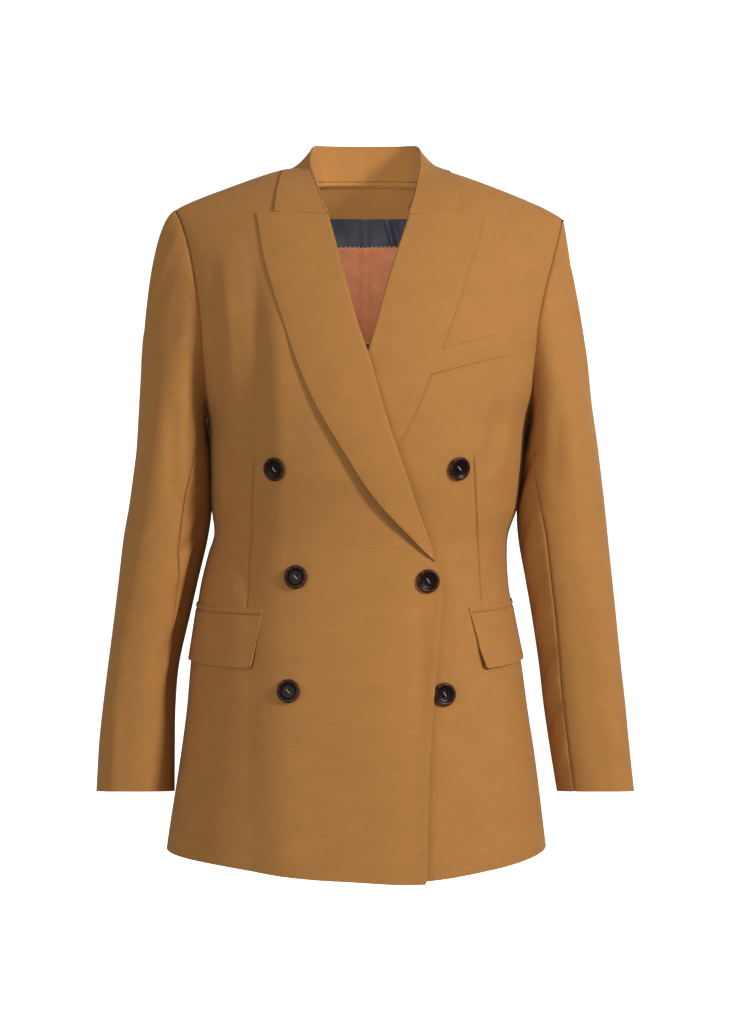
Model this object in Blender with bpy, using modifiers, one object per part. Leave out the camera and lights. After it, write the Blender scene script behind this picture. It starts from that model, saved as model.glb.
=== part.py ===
"""Double breasted blazer, worn form, hollow, with the wearer's right front lapped over the left.

Sizes are in millimetres and are turned into metres as each piece is made.
The front faces -Y, the wearer's right is -X, and the origin is the middle of the neck at shoulder height.
The body is one surface: a closed ring at each height, drawn up to the shoulder line above the underarm.
Each panel is a part of that surface, with a wall that goes inward.
"""

import math

import bmesh
import bpy
from mathutils import Vector

MM = 0.001
OBJECT_NAME = "double_breasted_blazer"

# Walls and gaps
CLOTH_WALL = 2.0
LAPEL_WALL = 1.8
TRIM_WALL = 1.3
LINING_WALL = 1.0
SEAM_INSET = 0.3
SLEEVE_INSET = 0.65
UNDER_SLEEVE_INSET = 1.4
SHOULDER_INSET = 1.5
LAYER_GAP = 0.5

# Levels
UNDERARM = -262.0
BREAK_HEIGHT = -402.0
GORGE_HEIGHT = -47.0
SEAM_DEPTH = 6.0

# How square a ring is across and along, and how each half closes over towards the shoulder line
RING_ACROSS = 2.25
RING_ALONG = 2.1
FRONT_CLOSE = (2.05, 1.45)
BACK_CLOSE = (3.0, 2.0)

# The laps: how far the right front stands off the left one
LAP_RISE = 6.6
LAP_START = -118.0
LAP_FULL = -84.0
# The lapping edge dips towards the front below it, over EDGE_REACH, and bulges out between the buttons
EDGE_DIP = 1.6
EDGE_REACH = 22.0
EDGE_BULGE = 3.6
BULGE_HEIGHT = -536.0
BULGE_REACH = 26.0
# How far behind the roll line a front ends, above the break and beside the neck
ROLL_SETBACK = 4.5
NECK_SETBACK = 7.0

RIGHT = -1
LEFT = 1


class Table:
    """Rows of sizes with named columns, read between the rows along a smooth curve."""

    def __init__(self, columns, rows):
        self.columns = columns
        self.rows = sorted(rows)

    def at(self, name, place):
        rows = self.rows
        column = self.columns.index(name)
        place = min(max(place, rows[0][0]), rows[-1][0])
        low = 0
        while low < len(rows) - 2 and place > rows[low + 1][0]:
            low += 1

        def slope(row):
            before = rows[max(row - 1, 0)]
            after = rows[min(row + 1, len(rows) - 1)]
            return (after[column] - before[column]) / (after[0] - before[0])

        start = rows[low]
        end = rows[low + 1]
        step = end[0] - start[0]
        part = (place - start[0]) / step
        rise = end[column] - start[column]
        first = slope(low) * step
        last = slope(low + 1) * step
        curve = first + last - 2 * rise
        return start[column] + part * (first + part * (rise - first - curve + part * curve))


# Half widths to each side and depths to the front and back, by height
BODY = Table(
    ("height", "right", "left", "front", "back"),
    (
        (-740, 213, 194, 142, 132),
        (-700, 208.5, 189.5, 141, 131),
        (-620, 196, 179.5, 138, 129),
        (-565, 188.5, 171, 135, 126),
        (-515, 184, 164, 131, 121),
        (-450, 176, 153, 126, 111),
        (-430, 172.5, 150, 125, 108),
        (-400, 165, 148.5, 124, 104),
        (-380, 159, 150, 125, 103),
        (-350, 162, 160, 129, 105),
        (-310, 163, 165, 137, 111),
        (-262, 165, 170, 140, 117),
        (-230, 173, 180, 140, 118),
        (-190, 183, 189, 140, 118),
        (-150, 190, 197, 140, 118),
        (-110, 197, 203, 140, 118),
        (-80, 201, 207, 140, 118),
        (20, 202, 210, 140, 118),
    ),
)

# Height of the shoulder line on each side, by distance from the middle
SHOULDER = Table(
    ("away", "right", "left"),
    (
        (0, 12, 12),
        (57, 4.5, 4.5),
        (82, 2.5, 1),
        (102, -2.5, -5),
        (142, -16.5, -19.6),
        (184, -32.5, -37),
        (200, -41, -45.5),
        (212, -50, -54),
    ),
)
SHOULDER_POINT = {RIGHT: 199.5, LEFT: 207.0}
NECK_POINT = 57.0

# Distance of the armhole seam from the middle, by share of the way up from the underarm
ARMHOLE = Table(
    ("share", "right_front", "left_front", "right_back", "left_back"),
    (
        (0, 165, 170, 165, 170),
        (0.055, 164.5, 170.5, 160, 165),
        (0.115, 164.5, 171.5, 159, 164),
        (0.31, 168, 175, 163, 168),
        (0.48, 170.5, 179, 167, 174),
        (0.675, 176.5, 188, 173, 183),
        (0.81, 183, 196.5, 181, 194),
        (0.94, 192.5, 204, 192, 204),
        (1, 199.5, 207, 199.5, 207),
    ),
)

# The roll lines and the lapels' outer edges, by height, positive towards the wearer's left
RIGHT_LAPEL = Table(
    ("height", "roll", "edge"),
    (
        (-402, 69, 69),
        (-390, 66, 57),
        (-375, 61.5, 44),
        (-345, 51, 18),
        (-314, 41, -5),
        (-278, 28.5, -27),
        (-240, 16.5, -49),
        (-198, 5, -67.5),
        (-166, -6, -78.5),
        (-133, -15.5, -90),
        (-105, -23.5, -99.5),
        (-80, -29.5, -105.5),
        (-47, -38.5, -111.5),
    ),
)
LEFT_LAPEL = Table(
    ("height", "roll", "edge"),
    (
        (-402, -69, -69),
        (-390, -66, -57),
        (-375, -61.5, -44),
        (-345, -51, -18),
        (-314, -41, 5),
        (-282, -30, 33),
        (-239, -16.5, 54),
        (-213, -9, 64.5),
        (-186, 2.5, 76.5),
        (-166, 9, 83.5),
        (-134, 17.5, 95),
        (-102, 27, 104.5),
        (-73, 36.5, 115.5),
        (-47, 45.5, 119.5),
    ),
)
# The roll above the gorge, up to the neck point
NECK_ROLL = Table(("height", "roll"), ((-47, 39.5), (-38, 41.5), (-11, 50), (4, 57)))

# The front edge below the break, from the middle, by height
FRONT_EDGE = Table(
    ("height", "away"),
    (
        (-724, 59),
        (-718, 61),
        (-660, 62),
        (-620, 63),
        (-558, 66),
        (-520, 69),
        (-454, 74),
        (-428, 75),
        (-415, 74),
        (-402, 69),
    ),
)

# Hem heights at the front, at each side and at the back
HEM = {"front": -720.0, RIGHT: -710.5, LEFT: -707.0, "back": -713.0}
HEM_FLOW = {RIGHT: 6, LEFT: 2}
CORNER_DROP = 4.5

# Where the seam between side panel and back lies, in degrees round from the front
BACK_SIDE_SEAM = Table(
    ("height", "angle"),
    ((-740, 128), (-560, 127), (-400, 123), (-300, 117), (-240, 114)),
)

# Back neck seam: height by distance from the middle
BACK_NECK = Table(("away", "height"), ((0, -10), (20, -9), (40, -5.5), (52, -0.5), (57, 4.5)))

# The grids' rows and columns
LOWER_ROWS = 12
FRONT_UPPER_ROWS = 11
BACK_UPPER_ROWS = 9
FRONT_COLUMNS = 11
SIDE_COLUMNS = 4
BACK_COLUMNS = 7
TOP_SLEEVE_COLUMNS = 12
UNDER_SLEEVE_COLUMNS = 7
LAPEL_COLUMNS = 9
LAPEL_ROWS = 15
LEAF_COLUMNS = 24
LEAF_ROWS = 7
STAND_COLUMNS = 18
STAND_ROWS = 2
FACING_GRID = (10, 3)
LINING_GRID = (10, 6)
LABEL_GRID = (6, 4)
WELT_GRID = (7, 2)
JET_GRID = (9, 1)
FLAP_ROWS = 4
# Where the seam between side panel and back meets the armhole, in degrees round it from the shoulder
SIDE_TURN = 210.0
# The upper share of a side seam over which it swings to meet the armhole there
SEAM_SETTLE = 0.78

# Sleeve rings: the outer and inner side from the middle, the front and back, by height
SLEEVE_COLUMNS = ("height", "outer", "inner", "front", "back")
SLEEVE = {
    RIGHT: Table(
        SLEEVE_COLUMNS,
        (
            (-652, 284, 201.5, -44, 38),
            (-600, 280.5, 201, -48, 40),
            (-560, 276, 200, -51, 42),
            (-517, 270.5, 196, -54, 45),
            (-464, 263.5, 184, -58, 49),
            (-427, 259, 175.5, -61, 53),
            (-384, 254, 167, -63, 58),
            (-350, 248, 164.5, -65, 61),
            (-300, 241, 168, -67, 65),
        ),
    ),
    LEFT: Table(
        SLEEVE_COLUMNS,
        (
            (-652, 283.5, 202, -44, 38),
            (-600, 277.5, 193.5, -48, 40),
            (-560, 273.5, 187.5, -51, 42),
            (-517, 268.5, 182.5, -54, 45),
            (-464, 263, 174.5, -58, 49),
            (-427, 259, 168, -61, 53),
            (-384, 254.5, 161.5, -63, 58),
            (-350, 251, 161, -65, 61),
            (-300, 245, 169, -67, 65),
        ),
    ),
}
SLEEVE_HEAD_END = -300.0
CUFF = -652.0
CUFF_RISE = 0.13
SLEEVE_SQUARE = 2.15
# How the sleeve leaves the armhole at its top, middle and bottom: outward and down
SLEEVE_START = {
    RIGHT: {"top": (108, 58), "middle": (48, 50), "bottom": (7, 26)},
    LEFT: {"top": (18, 75), "middle": (44, 50), "bottom": (7, 26)},
}
SLEEVE_SWELL = 26.0
SLEEVE_ARRIVE = 110.0
# Where the front sleeve seam lies, in degrees round from the outer side
FRONT_SEAM = Table(
    ("height", "right", "left"),
    ((-652, 146, 121), (-560, 136, 117), (-450, 118, 114), (-300, 108, 112), (-262, 110, 112)),
)
BACK_SEAM_ANGLE = 246.0
# How far a sleeve starts beside the armhole, out and, at the underarm, further out and up
SLEEVE_CLEAR = 0.5
SLEEVE_SHIFT = 0.8
UNDERARM_SHIFT = 1.4
UNDERARM_LIFT = 2.5
# The sleeve head's share of the sleeve's length, and the rows' shares from the armhole to the cuff
HEAD_SHARE = 0.36
SLEEVE_ROWS = (0, 0.03, 0.09, 0.17, 0.26, 0.36, 0.44, 0.52, 0.6, 0.68, 0.76, 0.84, 0.92, 1.0)

# Across a lapel from the roll line: how far away, and how far out of the front on each side
TURN_OVER = (
    (4.0, -1.6, -1.6),
    (1.0, -1.2, -1.2),
    (0.0, 1.2, 0.8),
    (1.1, 3.6, 2.6),
    (5.0, 4.4, 3.0),
)
LAPEL_START = BREAK_HEIGHT + 7
# The width under which a lapel's turn narrows with it
LAPEL_NARROW = 14.0
# How far a lapel bows out of the front, and how far its edge stands off near the break
LAPEL_SWELL = {RIGHT: 1.5, LEFT: 0.3}
LAPEL_STAND = {RIGHT: 8.0, LEFT: 0.0}

# Half of the collar, from the back's middle to the gorge: its fold line, the leaf's outer edge,
# the neck seam, and the way that the fold faces, in degrees round from the back
COLLAR = Table(
    (
        "share",
        "fold_x",
        "fold_y",
        "fold_z",
        "edge_x",
        "edge_y",
        "edge_z",
        "seam_x",
        "seam_y",
        "seam_z",
        "facing",
    ),
    (
        (0.00, 0, 62, 30.5, 0, 80, -19, 0, 58, -8.5, 0),
        (0.22, 34, 57, 30.5, 42, 77, -18, 28, 51, -7, 20),
        (0.36, 52, 40, 29.5, 64, 64, -11, 43, 38, -3, 48),
        (0.50, 60, 17, 22, 79, 42, -2, 51, 21, 3, 78),
        (0.64, 60, -6, 8, 84, 15, 3, 51.8, 7, 7, 104),
        (0.78, 54, -28, -8, 87, -14, -3, 50.5, -12, -2, 134),
        (0.90, 47, -52, -28, 91, -44, -24, 47, -30, -14, 156),
        (1.00, 40, -69.5, -44.0, 93.5, -62, -43.9, 43, -46, -27, 166),
    ),
)
# Over the fold: how far out and how far up from the fold line
FOLD_OVER = ((-2.0, -2.8), (-1.9, -0.9), (-0.2, 0.5), (2.6, -0.7))
# How far the fold flattens towards the gorge, and from which share on
FOLD_FLATTEN = 0.8
FLATTEN_START = 0.86
# How far the leaf bows out, and how far its edge rests off the body
LEAF_SWELL = 4.0
LEAF_REST = 5.2
# The share of the collar over which the stand runs
STAND_REACH = 0.93

# How far inside the back's outer side each layer's own outer side lies
FACING_DEPTH = 4.1
LABEL_DEPTH = 5.9
FACING_END = -45.0
LINING_END = -205.0
LABEL_TOP = -75.0
LABEL_END = -180.0
FACING_CLEAR = 3.0
# Half widths: the facing's below and above, the lining's below and above, the label's
FACING_HALF = (70, 52)
LINING_HALF = (100, 71)
LABEL_HALF = (54, 54)

JET_WIDTH = 5.5
POCKET_END_ANGLE = 97.0
FLAP_ROUND = 4.0
FLAP_PROUD = 2.2
# The pocket's length round the body, and where the flap's columns lie between its rounded ends
POCKET_ARC = 128.0
FLAP_END_SHARES = (0, 0.3, 1)
FLAP_SHARES = (0.14, 0.28, 0.42, 0.56, 0.7, 0.84)
# The pocket on each side: its inner end on the front, the heights of its mouth there and at its outer
# end, the flap's lower edge at both ends, and where the flap's inner edge ends below
POCKET = {
    RIGHT: {
        "inner": 104.0,
        "mouth": (-456.5, -457.5),
        "flap_end": (-511.0, -511.0),
        "flap_inner": 114.6,
    },
    LEFT: {
        "inner": 105.5,
        "mouth": (-455.5, -453.5),
        "flap_end": (-512.8, -509.0),
        "flap_inner": 120.5,
    },
}
# The breast welt's ends: from the middle, and the heights of its lower and upper line
WELT_INNER = {"low": -213.0, "high": -186.0, "gap": 0.9}
WELT_OUTER = {"low": (151.0, -190.0), "high": (148.0, -167.0)}

# The steps round a button, and how far its back stands off the front
BUTTON_ROUND = 16
BUTTON_LIFT = 0.6
# A button's half section from the top's middle outwards and down: from its axis, above its back
BUTTON_SECTION = ((0, 1.9), (7.6, 1.9), (8.6, 2.9), (10.6, 3.1), (12, 2.2), (11.6, 0.7), (9, 0), (0, 0))
# Each button's front, its distance from the middle towards the wearer's left, and its height
BUTTONS = (
    (RIGHT, -88.8, -307),
    (LEFT, 93.8, -307),
    (RIGHT, -68.6, -417),
    (RIGHT, 61.2, -421),
    (RIGHT, -76.0, -532),
    (LEFT, 79.4, -536),
)

# Colours, roughness and metallic value of each material
FINISHES = {
    "camel_wool": ((0.42, 0.20, 0.065, 1), 0.85, 0.0),
    "navy_satin": ((0.02, 0.025, 0.05, 1), 0.45, 0.0),
    "copper_satin": ((0.45, 0.16, 0.07, 1), 0.5, 0.0),
    "dark_horn": ((0.015, 0.01, 0.008, 1), 0.25, 0.0),
}


# ---------------------------------------------------------------- the body's surface


def side_of(x):
    return RIGHT if x < 0 else LEFT


def word_of(side):
    return "right" if side == RIGHT else "left"


def half_width(side, height):
    return BODY.at(word_of(side), height)


def shoulder_height(x):
    return SHOULDER.at(word_of(side_of(x)), abs(x))


def angle_at(x, height, back=False):
    """The ring angle, 0 at the middle front, of the place at x on the front or the back."""
    side = side_of(x)
    share = min(abs(x) / half_width(side, height), 1.0)
    angle = math.asin(share ** (RING_ACROSS / 2))
    return side * (math.pi - angle if back else angle)


def ring_point(angle, height):
    """The point of the body's surface at a ring angle and a height."""
    angle = math.remainder(angle, 2 * math.pi)
    side = LEFT if angle >= 0 else RIGHT
    across = abs(math.sin(angle)) ** (2 / RING_ACROSS)
    along = abs(math.cos(angle)) ** (2 / RING_ALONG)
    back = abs(angle) > math.pi / 2
    x = side * half_width(side, height) * across
    depth = BODY.at("back" if back else "front", height) * along * (1 if back else -1)
    if height <= UNDERARM:
        return Vector((x, depth, height))
    top = shoulder_height(x)
    share = min((height - UNDERARM) / (top - UNDERARM), 1.0)
    rate, root = BACK_CLOSE if back else FRONT_CLOSE
    depth = SEAM_DEPTH + (depth - SEAM_DEPTH) * (1 - share**rate) ** (1 / root)
    return Vector((x, depth, height))


def ring_normal(angle, height):
    """The outward direction there."""
    x = ring_point(angle, height).x
    height = min(height, shoulder_height(x) - 4)
    turn = 0.012
    rise = 0.8
    round_way = ring_point(angle + turn, height) - ring_point(angle - turn, height)
    up_way = ring_point(angle, height + rise) - ring_point(angle, height - rise)
    return round_way.cross(up_way).normalized()


def on_ring(angle, height, out=0.0):
    point = ring_point(angle, height)
    if out:
        point = point + ring_normal(angle, height) * out
    return point


def on_body(x, height, out=0.0, back=False):
    """The point of the body's front or back over a place seen from the front, moved out."""
    return on_ring(angle_at(x, height, back), height, out)


def smooth(low, high, value):
    part = min(max((value - low) / (high - low), 0.0), 1.0)
    return part * part * (3 - 2 * part)


def hill(centre, reach, value):
    return math.exp(-(((value - centre) / reach) ** 2))


# ---------------------------------------------------------------- the panels' edges


def roll_line(side, height):
    """The roll line's distance from the middle, towards the wearer's left."""
    table = RIGHT_LAPEL if side == RIGHT else LEFT_LAPEL
    if height <= GORGE_HEIGHT:
        return table.at("roll", height)
    join = table.at("roll", GORGE_HEIGHT) - side * NECK_ROLL.at("roll", GORGE_HEIGHT)
    fade = (NECK_ROLL.rows[-1][0] - height) / (NECK_ROLL.rows[-1][0] - GORGE_HEIGHT)
    return side * NECK_ROLL.at("roll", height) + join * fade


def inner_edge(side, height):
    """Where a front ends: the front edge below the break, just behind the roll line above it."""
    if height <= BREAK_HEIGHT:
        return -side * FRONT_EDGE.at("away", height)
    back_off = ROLL_SETBACK * smooth(BREAK_HEIGHT, BREAK_HEIGHT + 18, height)
    back_off += NECK_SETBACK * smooth(GORGE_HEIGHT - 14, GORGE_HEIGHT + 16, height)
    back_off *= 1 - smooth(-12, 2, height)
    return roll_line(side, height) + side * back_off


def lap_rise(side, x, height):
    """How far a front stands off the body's surface."""
    if side == LEFT:
        return 0.0
    rise = LAP_RISE * smooth(LAP_START, LAP_FULL, x) * (1 - smooth(-150, -100, height))
    edge = FRONT_EDGE.at("away", min(height, BREAK_HEIGHT))
    near_edge = smooth(edge - EDGE_REACH, edge, x) * (1 - smooth(BREAK_HEIGHT - 25, BREAK_HEIGHT, height))
    bulge = EDGE_BULGE * hill(BULGE_HEIGHT, BULGE_REACH, height)
    return rise - EDGE_DIP * near_edge + bulge * near_edge


def hem_height(angle):
    side = LEFT if angle >= 0 else RIGHT
    middle = HEM["back"] if abs(angle) > math.pi / 2 else HEM["front"]
    return HEM[side] + (middle - HEM[side]) * abs(math.cos(angle)) ** HEM_FLOW[side]


def armhole_height(turn, side):
    """Height of the armhole seam at a turn round it: 0 at the shoulder point, 180 at the underarm."""
    top = shoulder_height(side * SHOULDER_POINT[side])
    return (top + UNDERARM) / 2 + (top - UNDERARM) / 2 * math.cos(math.radians(turn))


def armhole_away(turn, side):
    name = word_of(side) + ("_front" if turn <= 180 else "_back")
    return ARMHOLE.at(name, (1 + math.cos(math.radians(turn))) / 2)


def armhole_point(turn, side):
    """A point of the armhole seam, on the front up to 180 and on the back past it."""
    return on_body(side * armhole_away(turn, side), armhole_height(turn, side), back=turn > 180)


def patch(across, up, bottom, top, inner, outer):
    """A place inside four edges, each a function that gives (x, height) along it."""
    def mix(one, other, part):
        return [a + (b - a) * part for a, b in zip(one, other)]

    along = mix(bottom(across), top(across), up)
    sideways = mix(inner(up), outer(up), across)
    corners = mix(mix(bottom(0), bottom(1), across), mix(top(0), top(1), across), up)
    return [a + b - c for a, b, c in zip(along, sideways, corners)]


# ---------------------------------------------------------------- making pieces


def finish_of(name):
    material = bpy.data.materials.get(name)
    if material is None:
        colour, roughness, metallic = FINISHES[name]
        material = bpy.data.materials.new(name)
        material.use_nodes = True
        shader = material.node_tree.nodes["Principled BSDF"]
        shader.inputs["Base Color"].default_value = colour
        shader.inputs["Roughness"].default_value = roughness
        shader.inputs["Metallic"].default_value = metallic
    return material


def add_piece(name, mesh, collection, finish):
    mesh.materials.append(finish_of(finish))
    piece = bpy.data.objects.new(name, mesh)
    collection.objects.link(piece)
    return piece


def even(count):
    return [step / count for step in range(count + 1)]


def add_wall(name, collection, finish, across, up, place, wall, inset=(SEAM_INSET,) * 4):
    """A sheet over a grid, pulled in at its edges and given its wall.

    across and up are the grid's shares, and place gives a point for each pair of them.
    inset is how far the first and last column and the first and last row are pulled in.
    """
    points = [[Vector(place(s, t)) for s in across] for t in up]
    pulled = [list(row) for row in points]

    def pull(row, column, row_in, column_in, amount):
        way = points[row_in][column_in] - points[row][column]
        if amount and way.length > 1e-9:
            pulled[row][column] = pulled[row][column] + way.normalized() * amount

    last_row = len(up) - 1
    last_column = len(across) - 1
    for row in range(len(up)):
        pull(row, 0, row, 1, inset[0])
        pull(row, last_column, row, last_column - 1, inset[1])
    for column in range(len(across)):
        pull(0, column, 1, column, inset[2])
        pull(last_row, column, last_row - 1, column, inset[3])

    shape = bmesh.new()
    bmesh.ops.create_grid(shape, x_segments=last_column, y_segments=last_row, size=0.5)
    for vertex in shape.verts:
        column = round((vertex.co.x + 0.5) * last_column)
        row = round((vertex.co.y + 0.5) * last_row)
        vertex.co = pulled[row][column] * MM
    mesh = bpy.data.meshes.new(name)
    shape.to_mesh(mesh)
    shape.free()
    piece = add_piece(name, mesh, collection, finish)
    solid = piece.modifiers.new("wall", "SOLIDIFY")
    solid.thickness = wall * MM
    solid.offset = -1
    solid.use_quality_normals = True
    return piece


# ---------------------------------------------------------------- body panels

def front_place(side):
    """Gives the points of a front: rows level up to the underarm, then drawn to the shoulder seam."""
    split = LOWER_ROWS / (LOWER_ROWS + FRONT_UPPER_ROWS)

    def lower(s, share):
        height = hem_height(0.0) + (UNDERARM - hem_height(0.0)) * share
        edge_angle = angle_at(inner_edge(side, height), height)
        angle = edge_angle + (side * math.pi / 2 - edge_angle) * s
        hem = hem_height(angle)
        if side == RIGHT:
            hem -= CORNER_DROP * smooth(-20, FRONT_EDGE.at("away", hem), ring_point(angle, hem).x)
        height = hem + (UNDERARM - hem) * share
        return angle, height

    def bottom(s):
        angle, height = lower(s, 1.0)
        return ring_point(angle, height).x, height

    def top(s):
        away = NECK_POINT + (SHOULDER_POINT[side] - NECK_POINT) * s
        return side * away, shoulder_height(side * away)

    def inner(t):
        height = UNDERARM + (shoulder_height(side * NECK_POINT) - UNDERARM) * math.sin(t * math.pi / 2)
        return inner_edge(side, height) if t < 1 else side * NECK_POINT, height

    def outer(t):
        turn = 180.0 * (1 - t)
        return side * armhole_away(turn, side), armhole_height(turn, side)

    def place(s, t):
        if side == RIGHT:
            s = 1 - s
        if t <= split + 1e-9:
            angle, height = lower(s, t / split)
            x = ring_point(angle, height).x
            return on_ring(angle, height, lap_rise(side, x, height))
        x, height = patch(s, (t - split) / (1 - split), bottom, top, inner, outer)
        return on_body(x, height, lap_rise(side, x, height))

    return place


def side_place(side):
    """Gives the points of a side panel, from the side seam to the seam with the back."""

    def place(s, t):
        if side == RIGHT:
            s = 1 - s
        turn = 180.0 + (SIDE_TURN - 180.0) * s
        top_height = armhole_height(turn, side)
        top_angle = abs(angle_at(side * armhole_away(turn, side), top_height, back=turn > 180))
        level = HEM["back"] + (top_height - HEM["back"]) * t
        seam = math.radians(BACK_SIDE_SEAM.at("angle", level))
        low_angle = math.pi / 2 + (seam - math.pi / 2) * s
        settle = smooth(SEAM_SETTLE, 1.0, t)
        angle = side * (low_angle + (top_angle - low_angle) * settle)
        hem = hem_height(angle)
        return on_ring(angle, hem + (top_height - hem) * t)

    return place


def back_place(side):
    """Gives the points of a back half, from the side seam to the middle."""
    split = LOWER_ROWS / (LOWER_ROWS + BACK_UPPER_ROWS)
    side_top = armhole_height(SIDE_TURN, side)

    def lower(s, share):
        level = HEM["back"] + (side_top - HEM["back"]) * share
        seam = math.radians(BACK_SIDE_SEAM.at("angle", level))
        top_angle = abs(angle_at(side * armhole_away(SIDE_TURN, side), side_top, back=True))
        seam += (top_angle - seam) * smooth(SEAM_SETTLE, 1.0, share)
        angle = side * (seam + (math.pi - 1e-6 - seam) * s)
        hem = hem_height(angle)
        return angle, hem + (side_top - hem) * share

    def bottom(s):
        angle, height = lower(s, 1.0)
        return ring_point(angle, height).x, height

    def top(s):
        neck_share = 1 - NECK_POINT / SHOULDER_POINT[side]
        if s <= neck_share:
            away = SHOULDER_POINT[side] + (NECK_POINT - SHOULDER_POINT[side]) * s / neck_share
            return side * away, shoulder_height(side * away)
        away = NECK_POINT * (1 - s) / (1 - neck_share)
        return side * away, BACK_NECK.at("height", away)

    def outer(t):
        turn = SIDE_TURN + (360.0 - SIDE_TURN) * t
        return side * armhole_away(turn, side), armhole_height(turn, side)

    def inner(t):
        return 0.0, side_top + (BACK_NECK.at("height", 0) - side_top) * math.sin(t * math.pi / 2)

    def place(s, t):
        if side == RIGHT:
            s = 1 - s
        if t <= split + 1e-9:
            angle, height = lower(s, t / split)
            return on_ring(angle, height)
        x, height = patch(s, (t - split) / (1 - split), bottom, top, outer, inner)
        x = side * max(abs(x), 1e-3)
        return on_body(x, height, back=True)

    return place


# ---------------------------------------------------------------- sleeves


def sleeve_ring(side, turn, height):
    """A point of a sleeve ring: turn 0 is the outer side, 90 the front, 180 the inner side."""
    table = SLEEVE[side]
    outer = table.at("outer", height)
    inner = table.at("inner", height)
    front = table.at("front", height)
    back = table.at("back", height)
    cosine = math.cos(math.radians(turn))
    sine = math.sin(math.radians(turn))
    across = math.copysign(abs(cosine) ** (2 / SLEEVE_SQUARE), cosine)
    along = math.copysign(abs(sine) ** (2 / SLEEVE_SQUARE), sine)
    x = (outer + inner) / 2 + (outer - inner) / 2 * across
    y = (front + back) / 2 + (front - back) / 2 * along
    tilt = CUFF_RISE * smooth(SLEEVE_HEAD_END, CUFF, height)
    return Vector((side * x, y, height - tilt * (y - (front + back) / 2)))


def sleeve_point(side, turn, share):
    """A point of a sleeve: share 0 at the armhole, HEAD_SHARE at the end of the head, 1 at the cuff."""
    if share >= HEAD_SHARE:
        along = (share - HEAD_SHARE) / (1 - HEAD_SHARE)
        return sleeve_ring(side, turn, SLEEVE_HEAD_END + (CUFF - SLEEVE_HEAD_END) * along)
    part = share / HEAD_SHARE
    cosine = math.cos(math.radians(turn))
    sine = math.sin(math.radians(turn))
    starts = SLEEVE_START[side]
    ends = "top" if cosine > 0 else "bottom"
    mix = abs(cosine) ** 1.5
    outward, drop = (m + (e - m) * mix for m, e in zip(starts["middle"], starts[ends]))
    leave = Vector((side * outward, -SLEEVE_SWELL * sine, -drop))
    start = armhole_point(turn % 360, side)
    start += leave.normalized() * SLEEVE_CLEAR
    low = smooth(0.35, 1.0, -cosine)
    start.x += side * (SLEEVE_SHIFT + UNDERARM_SHIFT * low)
    start.z += UNDERARM_LIFT * low
    end = sleeve_ring(side, turn, SLEEVE_HEAD_END)
    next_ring = sleeve_ring(side, turn, SLEEVE_HEAD_END - 10)
    arrive = (next_ring - end).normalized() * SLEEVE_ARRIVE * min((end - start).length / 200, 1.0)
    square = part * part
    cube = square * part
    return (
        start * (2 * cube - 3 * square + 1)
        + leave * (cube - 2 * square + part)
        + end * (3 * square - 2 * cube)
        + arrive * (cube - square)
    )


def sleeve_place(side, under):
    def seam_turns(share):
        height = SLEEVE_HEAD_END + (CUFF - SLEEVE_HEAD_END) * max(share - HEAD_SHARE, 0) / (1 - HEAD_SHARE)
        return FRONT_SEAM.at(word_of(side), height), BACK_SEAM_ANGLE

    def place(s, t):
        front_turn, back_turn = seam_turns(1 - t)
        if under:
            start, end = front_turn, back_turn
        else:
            start, end = back_turn - 360, front_turn
        if side == LEFT:
            s = 1 - s
        return sleeve_point(side, start + (end - start) * s, 1 - t)

    return place


# ---------------------------------------------------------------- lapels and collar


def lapel_place(side):
    """Gives the points of a lapel: it turns over the roll line and lies on the front."""
    table = RIGHT_LAPEL if side == RIGHT else LEFT_LAPEL
    outs = [row[1] if side == RIGHT else row[2] for row in TURN_OVER]
    flat_columns = LAPEL_COLUMNS - len(TURN_OVER) + 1

    def place(s, t):
        height = LAPEL_START + (GORGE_HEIGHT - LAPEL_START) * t
        column = round(s * LAPEL_COLUMNS)
        if side == RIGHT:
            column = LAPEL_COLUMNS - column
        roll = table.at("roll", height)
        edge = table.at("edge", height)
        width = abs(edge - roll)
        squeeze = min(1.0, width / LAPEL_NARROW)
        stand = outs[-1] + LAPEL_STAND[side] * hill(0.16, 0.2, t) * smooth(0, 0.08, t)
        if column < len(TURN_OVER):
            away = TURN_OVER[column][0] * squeeze
            out = outs[column]
        else:
            part = (column - len(TURN_OVER) + 1) / flat_columns
            start_away = TURN_OVER[-1][0] * squeeze
            away = start_away + (width - start_away) * part
            out = outs[-1] + (stand - outs[-1]) * part + LAPEL_SWELL[side] * math.sin(part * math.pi)
        x = roll + side * away
        return on_body(x, height, out + lap_rise(side, x, height))

    return place


def collar_point(name, share):
    side = LEFT if share >= 0 else RIGHT
    x, y, z = (COLLAR.at(f"{name}_{axis}", abs(share)) for axis in "xyz")
    return Vector((side * x, y, z))


def collar_facing(share):
    side = LEFT if share >= 0 else RIGHT
    turn = math.radians(COLLAR.at("facing", abs(share)))
    return Vector((side * math.sin(turn), math.cos(turn), 0))


def leaf_place(s, t):
    """Gives the points of the collar leaf: s runs from the left end round the back to the right end."""
    share = 1 - 2 * s
    fold = collar_point("fold", share)
    facing = collar_facing(share)
    flatten = 1 - FOLD_FLATTEN * smooth(FLATTEN_START, 1.0, abs(share))
    column = round((1 - t) * LEAF_ROWS)
    if column < len(FOLD_OVER):
        out, up = FOLD_OVER[column]
        return fold + facing * out + Vector((0, 0, up * flatten))
    part = (column - len(FOLD_OVER) + 1) / (LEAF_ROWS - len(FOLD_OVER) + 1)
    out, up = FOLD_OVER[-1]
    start = fold + facing * out + Vector((0, 0, up * flatten))
    edge = leaf_edge(share)
    swell = facing * LEAF_SWELL * math.sin(part * math.pi)
    return start + (edge - start) * part + swell


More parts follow.
